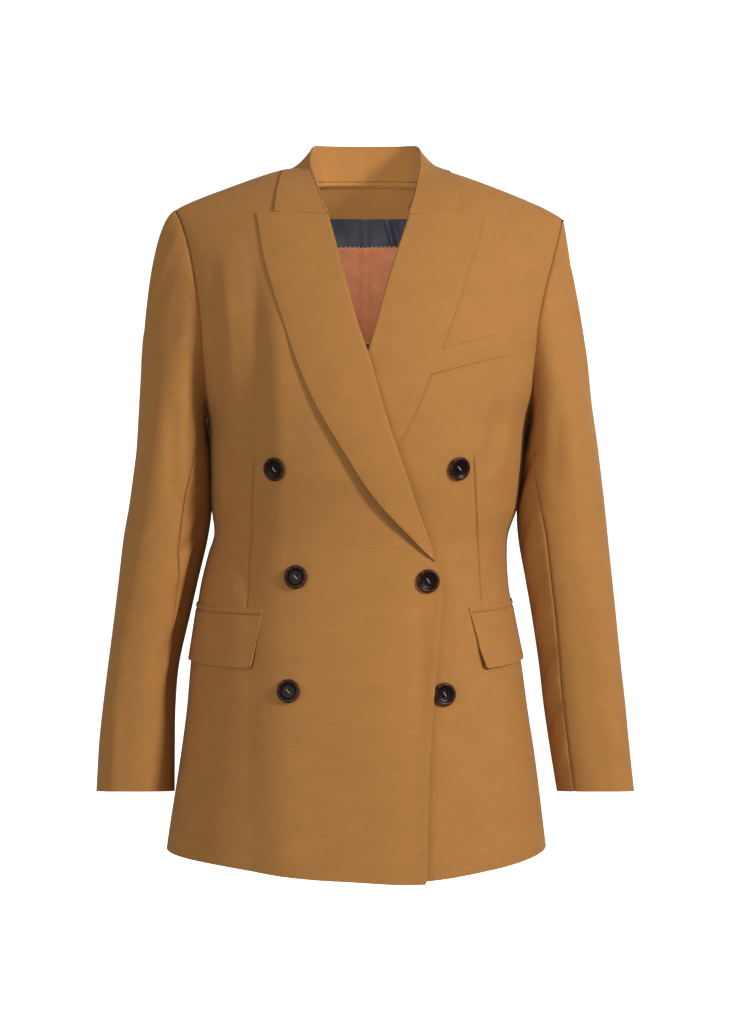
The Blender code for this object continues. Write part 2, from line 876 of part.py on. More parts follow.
def leaf_edge(share):
    """The leaf's outer edge, resting on the body."""
    edge = collar_point("edge", share)
    back = edge.y > SEAM_DEPTH
    height = min(edge.z, shoulder_height(edge.x))
    return on_body(edge.x if abs(edge.x) > 1e-3 else 1e-3, height, LEAF_REST, back)


def stand_place(s, t):
    """Gives the points of the collar stand, which rises from the neck seam to the fold."""
    share = (2 * s - 1) * STAND_REACH
    low = collar_point("seam", share)
    out, up = FOLD_OVER[0]
    high = collar_point("fold", share) + collar_facing(share) * out + Vector((0, 0, up - LAYER_GAP))
    return low + (high - low) * t


def add_collar(collection):
    leaf_grid = (even(LEAF_COLUMNS), even(LEAF_ROWS))
    add_wall("collar_leaf", collection, "camel_wool", *leaf_grid, leaf_place, LAPEL_WALL)
    stand_grid = (even(STAND_COLUMNS), even(STAND_ROWS))
    add_wall("collar_stand", collection, "camel_wool", *stand_grid, stand_place, LAPEL_WALL)


# ---------------------------------------------------------------- inside the back neck

def inside_place(halves, low, high, depth):
    """A panel lying on the inner side of the back, between a level and a height given across it."""

    def place(s, t):
        half = halves[0] + (halves[1] - halves[0]) * t
        x = half * (1 - 2 * s)
        x = math.copysign(max(abs(x), 1e-3), x)
        height = low + (high(abs(x)) - low) * t
        return on_body(x, height, -depth, back=True)

    return place


def below_neck_seam(away):
    return BACK_NECK.at("height", away) - FACING_CLEAR


def below_facing(away):
    return FACING_END - LAYER_GAP


def label_top(away):
    return LABEL_TOP


def add_inside(collection):
    panels = (
        ("neck_facing", "camel_wool", FACING_GRID, FACING_HALF, FACING_END, below_neck_seam, FACING_DEPTH),
        ("back_lining", "navy_satin", LINING_GRID, LINING_HALF, LINING_END, below_facing, FACING_DEPTH),
        ("label", "copper_satin", LABEL_GRID, LABEL_HALF, LABEL_END, label_top, LABEL_DEPTH),
    )
    for name, finish, (columns, rows), halves, low, high, depth in panels:
        place = inside_place(halves, low, high, depth)
        add_wall(name, collection, finish, even(columns), even(rows), place, LINING_WALL)


# ---------------------------------------------------------------- pockets

def pocket_strip(side, start, heights, out):
    """A strip on the body from its inner edge, given by share up, round to the pocket's outer end."""

    def place(s, t):
        if side == RIGHT:
            s = 1 - s
        low, high = heights(s)
        height = low + (high - low) * t
        first = abs(angle_at(side * start(t), height))
        angle = side * (first + (math.radians(POCKET_END_ANGLE) - first) * s)
        x = ring_point(angle, height).x
        return on_ring(angle, height, out(t) + lap_rise(side, x, height))

    return place


def add_pocket(side, collection):
    sizes = POCKET[side]
    mouth_in, mouth_out = sizes["mouth"]
    end_in, end_out = sizes["flap_end"]

    def mouth(s):
        return mouth_in + (mouth_out - mouth_in) * s

    def jet_heights(s):
        return mouth(s) + LAYER_GAP, mouth(s) + LAYER_GAP + JET_WIDTH

    def flap_heights(s):
        from_end = min(s, 1 - s) * POCKET_ARC
        cut = max(FLAP_ROUND - from_end, 0.0)
        corner = FLAP_ROUND - math.sqrt(FLAP_ROUND**2 - cut**2)
        return end_in + (end_out - end_in) * s + corner, mouth(s)

    def flap_start(t):
        return sizes["flap_inner"] + (sizes["inner"] + 1 - sizes["flap_inner"]) * t

    def flap_out(t):
        return LAYER_GAP + TRIM_WALL + FLAP_PROUD * (1 - t)

    jet = pocket_strip(side, lambda t: sizes["inner"], jet_heights, lambda t: LAYER_GAP + TRIM_WALL)
    columns, rows = JET_GRID
    add_wall("jet_" + word_of(side), collection, "camel_wool", even(columns), even(rows), jet, TRIM_WALL)
    flap = pocket_strip(side, flap_start, flap_heights, flap_out)
    ends = [share * FLAP_ROUND / POCKET_ARC for share in FLAP_END_SHARES]
    across = [*ends, *FLAP_SHARES, *(1 - share for share in reversed(ends))]
    add_wall("flap_" + word_of(side), collection, "camel_wool", across, even(FLAP_ROWS), flap, TRIM_WALL)


def welt_place(s, t):
    low, high = WELT_INNER["low"], WELT_INNER["high"]
    height = low + (high - low) * t
    start = (LEFT_LAPEL.at("edge", height) + WELT_INNER["gap"], height)
    end = [a + (b - a) * t for a, b in zip(WELT_OUTER["low"], WELT_OUTER["high"])]
    x, height = (a + (b - a) * s for a, b in zip(start, end))
    return on_body(x, height, LAYER_GAP + TRIM_WALL)


# ---------------------------------------------------------------- buttons

def add_button(name, side, x, height, collection):
    mesh = bpy.data.meshes.new(name)
    points = [(away * MM, 0, up * MM) for away, up in BUTTON_SECTION]
    mesh.from_pydata(points, [(step, step + 1) for step in range(len(points) - 1)], [])
    piece = add_piece(name, mesh, collection, "dark_horn")
    turned = piece.modifiers.new("turned", "SCREW")
    turned.steps = BUTTON_ROUND
    turned.render_steps = BUTTON_ROUND
    turned.use_merge_vertices = True
    turned.merge_threshold = 1e-5
    turned.use_smooth_shade = False
    out = ring_normal(angle_at(x, height), height)
    rest = on_body(x, height, lap_rise(side, x, height) + BUTTON_LIFT)
    piece.location = rest * MM
    piece.rotation_mode = "QUATERNION"
    piece.rotation_quaternion = out.to_track_quat("Z", "Y")


def main():
    for thing in list(bpy.data.objects):
        bpy.data.objects.remove(thing)
    collection = bpy.data.collections.new(OBJECT_NAME)
    bpy.context.scene.collection.children.link(collection)
    sleeve_rows = [1 - share for share in reversed(SLEEVE_ROWS)]
    for side in (RIGHT, LEFT):
        word = word_of(side)
        plain = (SEAM_INSET,) * 4
        to_shoulder = (SEAM_INSET, SEAM_INSET, SEAM_INSET, SHOULDER_INSET)
        top_seams = (SLEEVE_INSET, SLEEVE_INSET, SEAM_INSET, SEAM_INSET)
        under_seams = (UNDER_SLEEVE_INSET, UNDER_SLEEVE_INSET, SEAM_INSET, SEAM_INSET)
        front_rows = even(LOWER_ROWS + FRONT_UPPER_ROWS)
        back_rows = even(LOWER_ROWS + BACK_UPPER_ROWS)
        panels = (
            ("front_", even(FRONT_COLUMNS), front_rows, front_place(side), to_shoulder),
            ("side_", even(SIDE_COLUMNS), even(LOWER_ROWS), side_place(side), plain),
            ("back_", even(BACK_COLUMNS), back_rows, back_place(side), to_shoulder),
            ("top_sleeve_", even(TOP_SLEEVE_COLUMNS), sleeve_rows, sleeve_place(side, False), top_seams),
            ("under_sleeve_", even(UNDER_SLEEVE_COLUMNS), sleeve_rows, sleeve_place(side, True), under_seams),
        )
        for name, across, up, place, inset in panels:
            add_wall(name + word, collection, "camel_wool", across, up, place, CLOTH_WALL, inset)
        lapel_grid = (even(LAPEL_COLUMNS), even(LAPEL_ROWS))
        add_wall("lapel_" + word, collection, "camel_wool", *lapel_grid, lapel_place(side), LAPEL_WALL)
        add_pocket(side, collection)
    add_collar(collection)
    add_inside(collection)
    columns, rows = WELT_GRID
    add_wall("breast_welt", collection, "camel_wool", even(columns), even(rows), welt_place, TRIM_WALL)
    for number, (side, x, height) in enumerate(BUTTONS, start=1):
        add_button(f"button_{number}", side, x, height, collection)


main()
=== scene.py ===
"""Double breasted blazer: the looks of every sewn piece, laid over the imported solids.

Lengths are in millimetres until a piece is made, and then in metres.
The front faces -Y, the wearer's right is -X, and the origin is the middle of the neck.
The body panels are parts of one surface, a closed ring at each height, and share its creases.
"""

import math

import bmesh
import bpy
import numpy as np
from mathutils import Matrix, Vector


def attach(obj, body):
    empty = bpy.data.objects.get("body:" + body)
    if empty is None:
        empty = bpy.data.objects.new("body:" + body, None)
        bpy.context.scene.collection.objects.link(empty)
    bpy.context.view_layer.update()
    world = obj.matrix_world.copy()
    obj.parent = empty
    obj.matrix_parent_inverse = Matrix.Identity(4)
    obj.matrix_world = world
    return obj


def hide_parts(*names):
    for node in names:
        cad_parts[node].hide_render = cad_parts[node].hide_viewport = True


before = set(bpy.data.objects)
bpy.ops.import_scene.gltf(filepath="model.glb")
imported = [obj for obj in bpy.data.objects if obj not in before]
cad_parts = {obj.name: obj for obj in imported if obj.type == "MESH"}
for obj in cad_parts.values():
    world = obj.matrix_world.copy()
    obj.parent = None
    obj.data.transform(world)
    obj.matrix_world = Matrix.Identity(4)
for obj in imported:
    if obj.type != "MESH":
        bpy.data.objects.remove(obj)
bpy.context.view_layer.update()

bl_info = {
    "name": "Double Breasted Blazer",
    "version": (1, 0, 0),
    "blender": (4, 5, 0),
    "location": "3D View > Sidebar > Blazer",
    "description": "Builds a tailored double breasted blazer, one sewn piece at a time",
    "category": "Object",
}

MM = 0.001
RIGHT = -1
LEFT = 1
SIDES = ((RIGHT, "right"), (LEFT, "left"))

# Levels
UNDERARM = -262.0
BREAK_HEIGHT = -402.0
GORGE_HEIGHT = -47.0
SEAM_DEPTH = 6.0

# How square a ring is across and along, and how each half closes over towards the shoulder line
RING_ACROSS = 2.25
RING_ALONG = 2.1
FRONT_CLOSE = (2.05, 1.45)
BACK_CLOSE = (3.0, 2.0)

# The laps: how far the right front stands off the left one, where that starts and is full across,
# and the heights over which it ends
LAP_RISE = 5.4
LAP_START = -122.0
LAP_FULL = -80.0
LAP_END = (-150, -100)
# The lapping edge dips and then curls up, each between two distances short of the edge
EDGE_DIP = 1.2
DIP_REACH = (30, 6)
EDGE_CURL = 3.2
CURL_REACH = (13, -1)
# The curl is strongest at one height, over a reach, and keeps a least share away from it
CURL_HEIGHT = -480
CURL_SPREAD = 70
CURL_LEAST = 0.4
EDGE_FADE = 25
# How far behind the roll line a front ends, above the break and beside the neck
ROLL_SETBACK = 4.5
NECK_SETBACK = 7.0
ROLL_FADE = 18
NECK_FADE = (-14, 16)
SETBACK_END = (-12, 2)
# How far the right front's lower corner drops, and from where across
CORNER_DROP = 4.5
CORNER_START = -30
# How far the left front's hem drops towards the lap. Under the lap it rises again by more than
# that, UNDER_LAP_RISE times as much, so that it doesn't show
LAPPED_DROP = 2.2
LAPPED_FADE = (130, 60)
UNDER_LAP_RISE = 1.5
UNDER_LAP_FADE = (50, 20)

# A sewn edge dips softly, and its last fibres turn in. SEAM_MOST is the most where two edges meet
SEAM_DIP = 0.9
SEAM_REACH = 1.8
SEAM_MOST = 1.2
SEAM_TURN = 1.6
SEAM_TURN_REACH = 0.45
# A soft edge takes no more than this share of its wall, where the cloth turns by more than an angle
SOFT_MOST = 0.42
SOFT_ANGLE = 55
# Grid steps close to an edge or a dart
CLOSE_STEPS = (0.0, 0.55, 1.2, 2.0, 3.1, 4.6)


class Table:
    """Rows of sizes with named columns, read between the rows along a smooth curve."""

    def __init__(self, columns, rows):
        self.columns = columns
        self.rows = np.array(sorted(rows), float)

    def at(self, name, place):
        keys = self.rows[:, 0]
        column = self.rows[:, self.columns.index(name)]
        place = np.clip(place, keys[0], keys[-1])
        low = np.clip(np.searchsorted(keys, place) - 1, 0, len(keys) - 2)
        before = np.maximum(np.arange(len(keys)) - 1, 0)
        after = np.minimum(np.arange(len(keys)) + 1, len(keys) - 1)
        slopes = (column[after] - column[before]) / (keys[after] - keys[before])
        step = keys[low + 1] - keys[low]
        part = (place - keys[low]) / step
        rise = column[low + 1] - column[low]
        first = slopes[low] * step
        last = slopes[low + 1] * step
        curve = first + last - 2 * rise
        return column[low] + part * (first + part * (rise - first - curve + part * curve))


BODY = Table(
    ("height", "right", "left", "front", "back"),
    (
        (-740, 213, 194, 142, 132),
        (-700, 208.5, 189.5, 141, 131),
        (-620, 196, 179.5, 138, 129),
        (-565, 188.5, 171, 135, 126),
        (-515, 184, 164, 131, 121),
        (-450, 176, 153, 126, 111),
        (-430, 172.5, 150, 125, 108),
        (-400, 165, 148.5, 124, 104),
        (-380, 159, 150, 125, 103),
        (-350, 162, 160, 129, 105),
        (-310, 163, 165, 137, 111),
        (-262, 165, 170, 140, 117),
        (-230, 173, 180, 140, 118),
        (-190, 183, 189, 140, 118),
        (-150, 190, 197, 140, 118),
        (-110, 197, 203, 140, 118),
        (-80, 201, 207, 140, 118),
        (20, 202, 210, 140, 118),
    ),
)
SHOULDER = Table(
    ("away", "right", "left"),
    (
        (0, 12, 12),
        (57, 4.5, 4.5),
        (82, 2.5, 1),
        (102, -2.5, -5),
        (142, -16.5, -19.6),
        (184, -32.5, -37),
        (200, -41, -45.5),
        (212, -50, -54),
    ),
)
SHOULDER_POINT = {RIGHT: 199.5, LEFT: 207.0}
NECK_POINT = 57.0
# The steps either way for the body's facing, and how far below the shoulder line it is last read
TURN_STEP = 0.012
RISE_STEP = 0.8
FACING_BELOW = 4
# The cloth's grain: its millimetres for each radian round the body, and the steps up its slope
GRAIN_RADIUS = 150.0
GRAIN_STEPS = 14
ARMHOLE = Table(
    ("share", "right_front", "left_front", "right_back", "left_back"),
    (
        (0, 165, 170, 165, 170),
        (0.055, 164.5, 170.5, 160, 165),
        (0.115, 164.5, 171.5, 159, 164),
        (0.31, 168, 175, 163, 168),
        (0.48, 170.5, 179, 167, 174),
        (0.675, 176.5, 188, 173, 183),
        (0.81, 183, 196.5, 181, 194),
        (0.94, 192.5, 204, 192, 204),
        (1, 199.5, 207, 199.5, 207),
    ),
)
LAPEL = {
    RIGHT: Table(
        ("height", "roll", "edge"),
        (
            (-402, 69, 69),
            (-390, 66, 57),
            (-375, 61.5, 44),
            (-345, 51, 18),
            (-314, 41, -5),
            (-278, 28.5, -27),
            (-240, 16.5, -49),
            (-198, 5, -67.5),
            (-166, -6, -78.5),
            (-133, -15.5, -90),
            (-105, -23.5, -99.5),
            (-80, -29.5, -105.5),
            (-47, -38.5, -111.5),
        ),
    ),
    LEFT: Table(
        ("height", "roll", "edge"),
        (
            (-402, -69, -69),
            (-390, -66, -57),
            (-375, -61.5, -44),
            (-345, -51, -18),
            (-314, -41, 5),
            (-282, -30, 33),
            (-239, -16.5, 54),
            (-213, -9, 64.5),
            (-186, 2.5, 76.5),
            (-166, 9, 83.5),
            (-134, 17.5, 95),
            (-102, 27, 104.5),
            (-73, 36.5, 115.5),
            (-47, 45.5, 119.5),
        ),
    ),
}
NECK_ROLL = Table(("height", "roll"), ((-47, 39.5), (-38, 41.5), (-11, 50), (4, 57)))
FRONT_EDGE = Table(
    ("height", "away"),
    (
        (-724, 59),
        (-718, 61),
        (-660, 62),
        (-620, 63),
        (-558, 66),
        (-520, 69),
        (-454, 74),
        (-428, 75),
        (-415, 74),
        (-402, 69),
    ),
)
HEM = {"front": -723.0, RIGHT: -711.5, LEFT: -709.0, "back": -713.0}
HEM_FLOW = {RIGHT: 6, LEFT: 2}
BACK_SIDE_SEAM = Table(
    ("height", "angle"),
    ((-740, 128), (-560, 127), (-400, 123), (-300, 117), (-240, 114)),
)
BACK_NECK = Table(("away", "height"), ((0, -10), (20, -9), (40, -5.5), (52, -0.5), (57, 4.5)))
SIDE_TURN = 210.0
# The waist darts: from the middle at two heights, and how far up and down each is sewn
DART = {
    RIGHT: {"top": (-113.0, -289.5), "end": (-121.5, -449.0)},
    LEFT: {"top": (110.0, -288.0), "end": (119.0, -447.0)},
}
DART_DEPTH = 1.8
DART_REACH = 0.8
DART_FILL = 0.8
DART_FILL_REACH = 11
DART_START = (0.0, 0.1)
DART_STOP = (1.0, 1.015)
# The share of a front's width at which its grid follows the dart
DART_COLUMN = 0.62


# ---------------------------------------------------------------- the body's surface


def settings():
    return bpy.context.scene.blazer


def grid_step(share=1.0):
    return settings().cloth.step / MM * share


def smooth(low, high, value):
    part = np.clip((value - low) / (high - low), 0.0, 1.0)
    return part * part * (3 - 2 * part)


def hill(centre, reach, value):
    return np.exp(-(((value - centre) / reach) ** 2))


def by_side(table, x, place):
    """A table's right or left column, by which side x is on."""
    return np.where(np.asarray(x) < 0, table.at("right", place), table.at("left", place))


def shoulder_height(x):
    return by_side(SHOULDER, x, np.abs(x))


def angle_at(x, height, back=False):
    """The ring angle, 0 at the middle front, of the place at x on the front or the back."""
    side = np.where(np.asarray(x) < 0, -1.0, 1.0)
    share = np.minimum(np.abs(x) / by_side(BODY, x, height), 1.0)
    angle = np.arcsin(share ** (RING_ACROSS / 2))
    return side * np.where(back, math.pi - angle, angle)


def ring_point(angle, height):
    """The points of the body's surface at ring angles and heights."""
    angle, height = np.broadcast_arrays(np.asarray(angle, float), np.asarray(height, float))
    angle = np.remainder(angle + math.pi, 2 * math.pi) - math.pi
    side = np.where(angle < 0, -1.0, 1.0)
    back = np.abs(angle) > math.pi / 2
    x = side * by_side(BODY, angle, height) * np.abs(np.sin(angle)) ** (2 / RING_ACROSS)
    depth = np.where(back, BODY.at("back", height), -BODY.at("front", height))
    depth = depth * np.abs(np.cos(angle)) ** (2 / RING_ALONG)
    share = np.clip((height - UNDERARM) / (shoulder_height(x) - UNDERARM), 0, 1)
    rate = np.where(back, BACK_CLOSE[0], FRONT_CLOSE[0])
    root = np.where(back, BACK_CLOSE[1], FRONT_CLOSE[1])
    closed = SEAM_DEPTH + (depth - SEAM_DEPTH) * (1 - share**rate) ** (1 / root)
    return np.stack([x, np.where(height <= UNDERARM, depth, closed), height], -1)


def unit(vectors):
    return vectors / np.maximum(np.linalg.norm(vectors, axis=-1, keepdims=True), 1e-9)


def ring_normal(angle, height):
    """The outward directions there."""
    x = ring_point(angle, height)[..., 0]
    height = np.minimum(height, shoulder_height(x) - FACING_BELOW)
    round_way = ring_point(angle + TURN_STEP, height) - ring_point(angle - TURN_STEP, height)
    up_way = ring_point(angle, height + RISE_STEP) - ring_point(angle, height - RISE_STEP)
    return unit(np.cross(round_way, up_way))


def on_ring(angle, height, out=0.0):
    return ring_point(angle, height) + ring_normal(angle, height) * np.asarray(out)[..., None]


def on_body(x, height, out=0.0, back=False):
    return on_ring(angle_at(x, height, back), height, out)


def ring_cut(angle, height):
    """Where a point of the body lies on the cloth's own grain: round the body, and up it."""
    angle, height = np.broadcast_arrays(np.asarray(angle, float), np.asarray(height, float))
    up = np.minimum(height, UNDERARM)
    over = np.maximum(height - UNDERARM, 0)
    for step in range(GRAIN_STEPS):
        low = ring_point(angle, UNDERARM + over * step / GRAIN_STEPS)
        high = ring_point(angle, UNDERARM + over * (step + 1) / GRAIN_STEPS)
        up = up + np.linalg.norm(high - low, axis=-1)
    return np.stack([angle * GRAIN_RADIUS, up], -1)


# ---------------------------------------------------------------- creases

# The shares of a crease's line over which it comes up and dies away
FOLD_START = (-0.14, 0.3)
FOLD_STOP = (0.7, 1.14)
# The turns in degrees over which the front's creases give way to the side's and the back's
FRONT_TO_SIDE = (72, 92)
SIDE_END = (110, 128)
BACK_START = (104, 124)


class Folds:
    """Soft ridges and troughs, each along a line, with its rise, breadth and bow."""

    def __init__(self, *rows):
        self.rows = rows

    def rise(self, a, b):
        total = np.zeros(np.broadcast(a, b).shape)
        for from_a, from_b, to_a, to_b, rise, breadth, bow in self.rows:
            along_a = to_a - from_a
            along_b = to_b - from_b
            length = math.hypot(along_a, along_b)
            part = ((a - from_a) * along_a + (b - from_b) * along_b) / length**2
            within = np.clip(part, 0, 1)
            off = ((b - from_b) * along_a - (a - from_a) * along_b) / length
            off = off - bow * 4 * within * (1 - within)
            fade = smooth(*FOLD_START, part) * (1 - smooth(*FOLD_STOP, part))
            total = total + rise * hill(0, breadth, off) * fade
        return total


# On the front, by distance from the middle and height: from, to, rise, breadth, bow
FRONT_FOLDS = Folds(
    (137, -218, 121, -322, -3.2, 6, 3),
    (148, -236, 133, -330, 2.2, 7, 2),
    (143, -128, 160, -205, -2.8, 8, -3),
    (158, -118, 172, -190, 1.8, 8, -2),
    (-144, -90, -137, -290, 2.6, 9, 3),
    (-158, -100, -152, -270, -2.2, 7, 2),
    (-116, -85, -106, -270, -2.4, 9, 2),
    (-90, -140, -86, -300, 1.4, 11, 2),
    (-160, -250, -136, -335, -2.4, 7, 4),
    (-150, -320, -116, -392, -1.8, 7, 5),
    (-136, -392, -112, -440, -1.4, 8, -4),
    (128, -330, 118, -440, 1.6, 9, 2),
    (20, -330, 62, -402, -1.0, 9, 4),
    (-20, -430, -90, -470, -0.8, 14, 6),
    (100, -395, 60, -412, 0.9, 10, 0),
    (-100, -520, -118, -690, 1.2, 20, 4),
    (-38, -560, -52, -715, -1.1, 22, 3),
    (20, -520, 16, -715, 1.0, 20, -3),
    (52, -425, 54, -560, -1.5, 6, 2),
    (104, -540, 118, -700, -1.2, 18, 3),
    (140, -530, 158, -700, 1.0, 16, 2),
    (-150, -540, -172, -700, -1.1, 16, -3),
)
# On the back, likewise
BACK_FOLDS = Folds(
    (-130, -100, -116, -300, 2.8, 12, 5),
    (126, -110, 110, -310, 2.6, 13, -5),
    (-152, -120, -140, -265, -2.6, 8, 2),
    (150, -130, 136, -280, -2.6, 8, -2),
    (-104, -140, -92, -290, -1.8, 12, 3),
    (98, -120, 90, -270, -1.6, 13, -3),
    (-62, -322, -6, -362, -2.2, 8, 6),
    (66, -332, 8, -376, -1.9, 8, -5),
    (-98, -372, -22, -398, -2.0, 7, 4),
    (94, -384, 20, -414, -1.7, 8, -4),
    (-110, -404, -60, -436, 1.5, 8, 3),
    (-70, -470, -92, -700, -1.8, 20, 5),
    (-22, -500, -34, -705, 1.4, 20, -4),
    (38, -490, 44, -700, -1.6, 18, 4),
    (92, -480, 112, -700, 1.6, 20, -4),
    (-122, -500, -140, -700, 1.3, 16, 3),
)
# On the side, by angle past the front in degrees and height
SIDE_FOLDS = Folds(
    (92, -300, 104, -400, -1.6, 7, 2),
    (112, -520, 116, -700, 1.4, 9, -1),
    (100, -480, 98, -690, -1.2, 8, 1),
)


def body_folds(points, angle):
    """How far the creases stand out of the body at these points."""
    x = points[..., 0]
    height = points[..., 2]
    turn = np.degrees(np.abs(angle))
    front = 1 - smooth(*FRONT_TO_SIDE, turn)
    back = smooth(*BACK_START, turn)
    side = smooth(*FRONT_TO_SIDE, turn) * (1 - smooth(*SIDE_END, turn))
    return (
        FRONT_FOLDS.rise(x, height) * front
        + BACK_FOLDS.rise(x, height) * back
        + SIDE_FOLDS.rise(turn, height) * side
    ) * settings().cloth.fold_depth


# ---------------------------------------------------------------- the panels' edges


def roll_line(side, height):
    """The roll line's distance from the middle, towards the wearer's left."""
    table = LAPEL[side]
    join = table.at("roll", GORGE_HEIGHT) - side * NECK_ROLL.at("roll", GORGE_HEIGHT)
    neck_top = NECK_ROLL.rows[-1, 0]
    fade = (neck_top - height) / (neck_top - GORGE_HEIGHT)
    above = side * NECK_ROLL.at("roll", height) + join * fade
    return np.where(height <= GORGE_HEIGHT, table.at("roll", height), above)


def inner_edge(side, height):
    """Where a front ends: the front edge below the break, just behind the roll line above it."""
    back_off = ROLL_SETBACK * smooth(BREAK_HEIGHT, BREAK_HEIGHT + ROLL_FADE, height)
    near_neck = smooth(GORGE_HEIGHT + NECK_FADE[0], GORGE_HEIGHT + NECK_FADE[1], height)
    back_off = (back_off + NECK_SETBACK * near_neck) * (1 - smooth(*SETBACK_END, height))
    above = roll_line(side, height) + side * back_off
    return np.where(height <= BREAK_HEIGHT, -side * FRONT_EDGE.at("away", height), above)


def lap_rise(side, x, height):
    """How far a front stands off the body's surface."""
    if side == LEFT:
        return np.zeros(np.broadcast(x, height).shape)
    rise = LAP_RISE * smooth(LAP_START, LAP_FULL, x) * (1 - smooth(*LAP_END, height))
    edge = FRONT_EDGE.at("away", np.minimum(height, BREAK_HEIGHT))
    below = 1 - smooth(BREAK_HEIGHT - EDGE_FADE, BREAK_HEIGHT, height)
    dip = EDGE_DIP * smooth(edge - DIP_REACH[0], edge - DIP_REACH[1], x)
    share = CURL_LEAST + (1 - CURL_LEAST) * hill(CURL_HEIGHT, CURL_SPREAD, height)
    curl = EDGE_CURL * smooth(edge - CURL_REACH[0], edge - CURL_REACH[1], x) * share
    return rise + below * (curl - dip)


def hem_height(angle):
    side = np.where(np.asarray(angle) >= 0, LEFT, RIGHT)
    low = np.where(side == RIGHT, HEM[RIGHT], HEM[LEFT])
    flow = np.where(side == RIGHT, HEM_FLOW[RIGHT], HEM_FLOW[LEFT])
    middle = np.where(np.abs(angle) > math.pi / 2, HEM["back"], HEM["front"])
    return low + (middle - low) * np.abs(np.cos(angle)) ** flow


def armhole_height(turn, side):
    """Height of the armhole seam at a turn round it: 0 at the shoulder point, 180 at the underarm."""
    top = shoulder_height(side * SHOULDER_POINT[side])
    return (top + UNDERARM) / 2 + (top - UNDERARM) / 2 * np.cos(np.radians(turn))


def armhole_away(turn, side):
    word = "right" if side == RIGHT else "left"
    share = (1 + np.cos(np.radians(turn))) / 2
    front = ARMHOLE.at(word + "_front", share)
    back = ARMHOLE.at(word + "_back", share)
    return np.where(np.asarray(turn) <= 180, front, back)


def armhole_point(turn, side):
    """Points of the armhole seam, on the front up to 180 and on the back past it."""
    turn = np.remainder(turn, 360)
    back = turn > 180
    return on_body(side * armhole_away(turn, side), armhole_height(turn, side), 0.0, back)


def between(low, high, part):
    return low + (high - low) * part


def up_share(x, height):
    """The share of the way up from the underarm to the shoulder line."""
    return (height - UNDERARM) / (shoulder_height(x) - UNDERARM)


def patch(s, t, bottom, top, inner, outer):
    """Places inside four edges, each a function that gives x and height along it."""

    def place(edge, along):
        x, height = np.broadcast_arrays(*edge(along))
        return np.stack([x, up_share(x, height)])

    start = 0 * s
    low, high = (between(place(edge, start), place(edge, start + 1), s) for edge in (bottom, top))
    along = between(place(bottom, s), place(top, s), t)
    sideways = between(place(inner, t), place(outer, t), s)
    x, share = along + sideways - between(low, high, t)
    share = np.minimum(share, 1.0)
    return x, UNDERARM + (shoulder_height(x) - UNDERARM) * share


# ---------------------------------------------------------------- grids


def spread(length, step, marks):
    """Shares of a length in even steps, drawn close together at each mark."""
    places = {0.0, float(length)}
    for mark in marks:
        places.update(mark + sign * gap for gap in CLOSE_STEPS for sign in (1, -1))
    count = max(2, round(length / step))
    for place in np.linspace(0, length, count + 1):
        if all(abs(place - mark) > CLOSE_STEPS[-1] + step / 3 for mark in marks):
            places.add(float(place))
    return np.array(sorted(place for place in places if 0 <= place <= length)) / length


def across_and_up(width, length, step):
    """The shares across and up of a grid with close steps at all its edges."""
    return spread(width, step, (0, width))[None, :], spread(length, step, (0, length))[:, None]


def as_worn(side, *grids):
    """The grids, with the right side's columns turned round so that both sides face outwards."""
    return [grid[:, ::-1] for grid in grids] if side == RIGHT else list(grids)


def edge_distances(points):
    """How far each point of a grid is from its left, right, low and high edge, along the cloth."""
    across = np.linalg.norm(np.diff(points, axis=1), axis=-1)
    up = np.linalg.norm(np.diff(points, axis=0), axis=-1)
    left = np.concatenate([np.zeros((points.shape[0], 1)), np.cumsum(across, axis=1)], axis=1)
    low = np.concatenate([np.zeros((1, points.shape[1])), np.cumsum(up, axis=0)], axis=0)
    return {"left": left, "right": left[:, -1:] - left, "low": low, "high": low[-1:] - low}


def grid_normals(points):
    across = np.gradient(points, axis=1)
    up = np.gradient(points, axis=0)
    return unit(np.cross(across, up))


def sewn(points, edges):
    """The grid with its sewn edges dipped."""
    away = edge_distances(points)
    soft = sum(hill(0, SEAM_REACH, away[edge]) for edge in edges)
    turn = sum(hill(0, SEAM_TURN_REACH, away[edge]) for edge in edges)
    dip = SEAM_DIP * np.minimum(soft, SEAM_MOST) + SEAM_TURN * np.minimum(turn, 1.0)
    return points - grid_normals(points) * dip[..., None]


def cut_size(points):
    """A grid's greatest width and length along the cloth, and its area, in metres."""
    away = edge_distances(points)
    width = away["left"][:, -1].max()
    length = away["low"][-1].max()
    one = points[1:, 1:] - points[:-1, :-1]
    other = points[1:, :-1] - points[:-1, 1:]
    area = np.linalg.norm(np.cross(one, other), axis=-1).sum() / 2
    area = min(area, width * length)
    return width * MM, length * MM, area * MM * MM


def lengths_cut(points):
    """A grid's own arc lengths, for pieces whose grain follows their edges."""
    away = edge_distances(points)
    return np.stack([away["left"] - away["left"].mean(), away["low"]], -1)


def new_object(name, data):
    piece = bpy.data.objects.new(name, data)
    bpy.context.scene.collection.objects.link(piece)
    return piece


def new_mesh(name, shape):
    """A mesh from a bmesh, which is given up."""
    mesh = bpy.data.meshes.new(name)
    shape.to_mesh(mesh)
    shape.free()
    return mesh


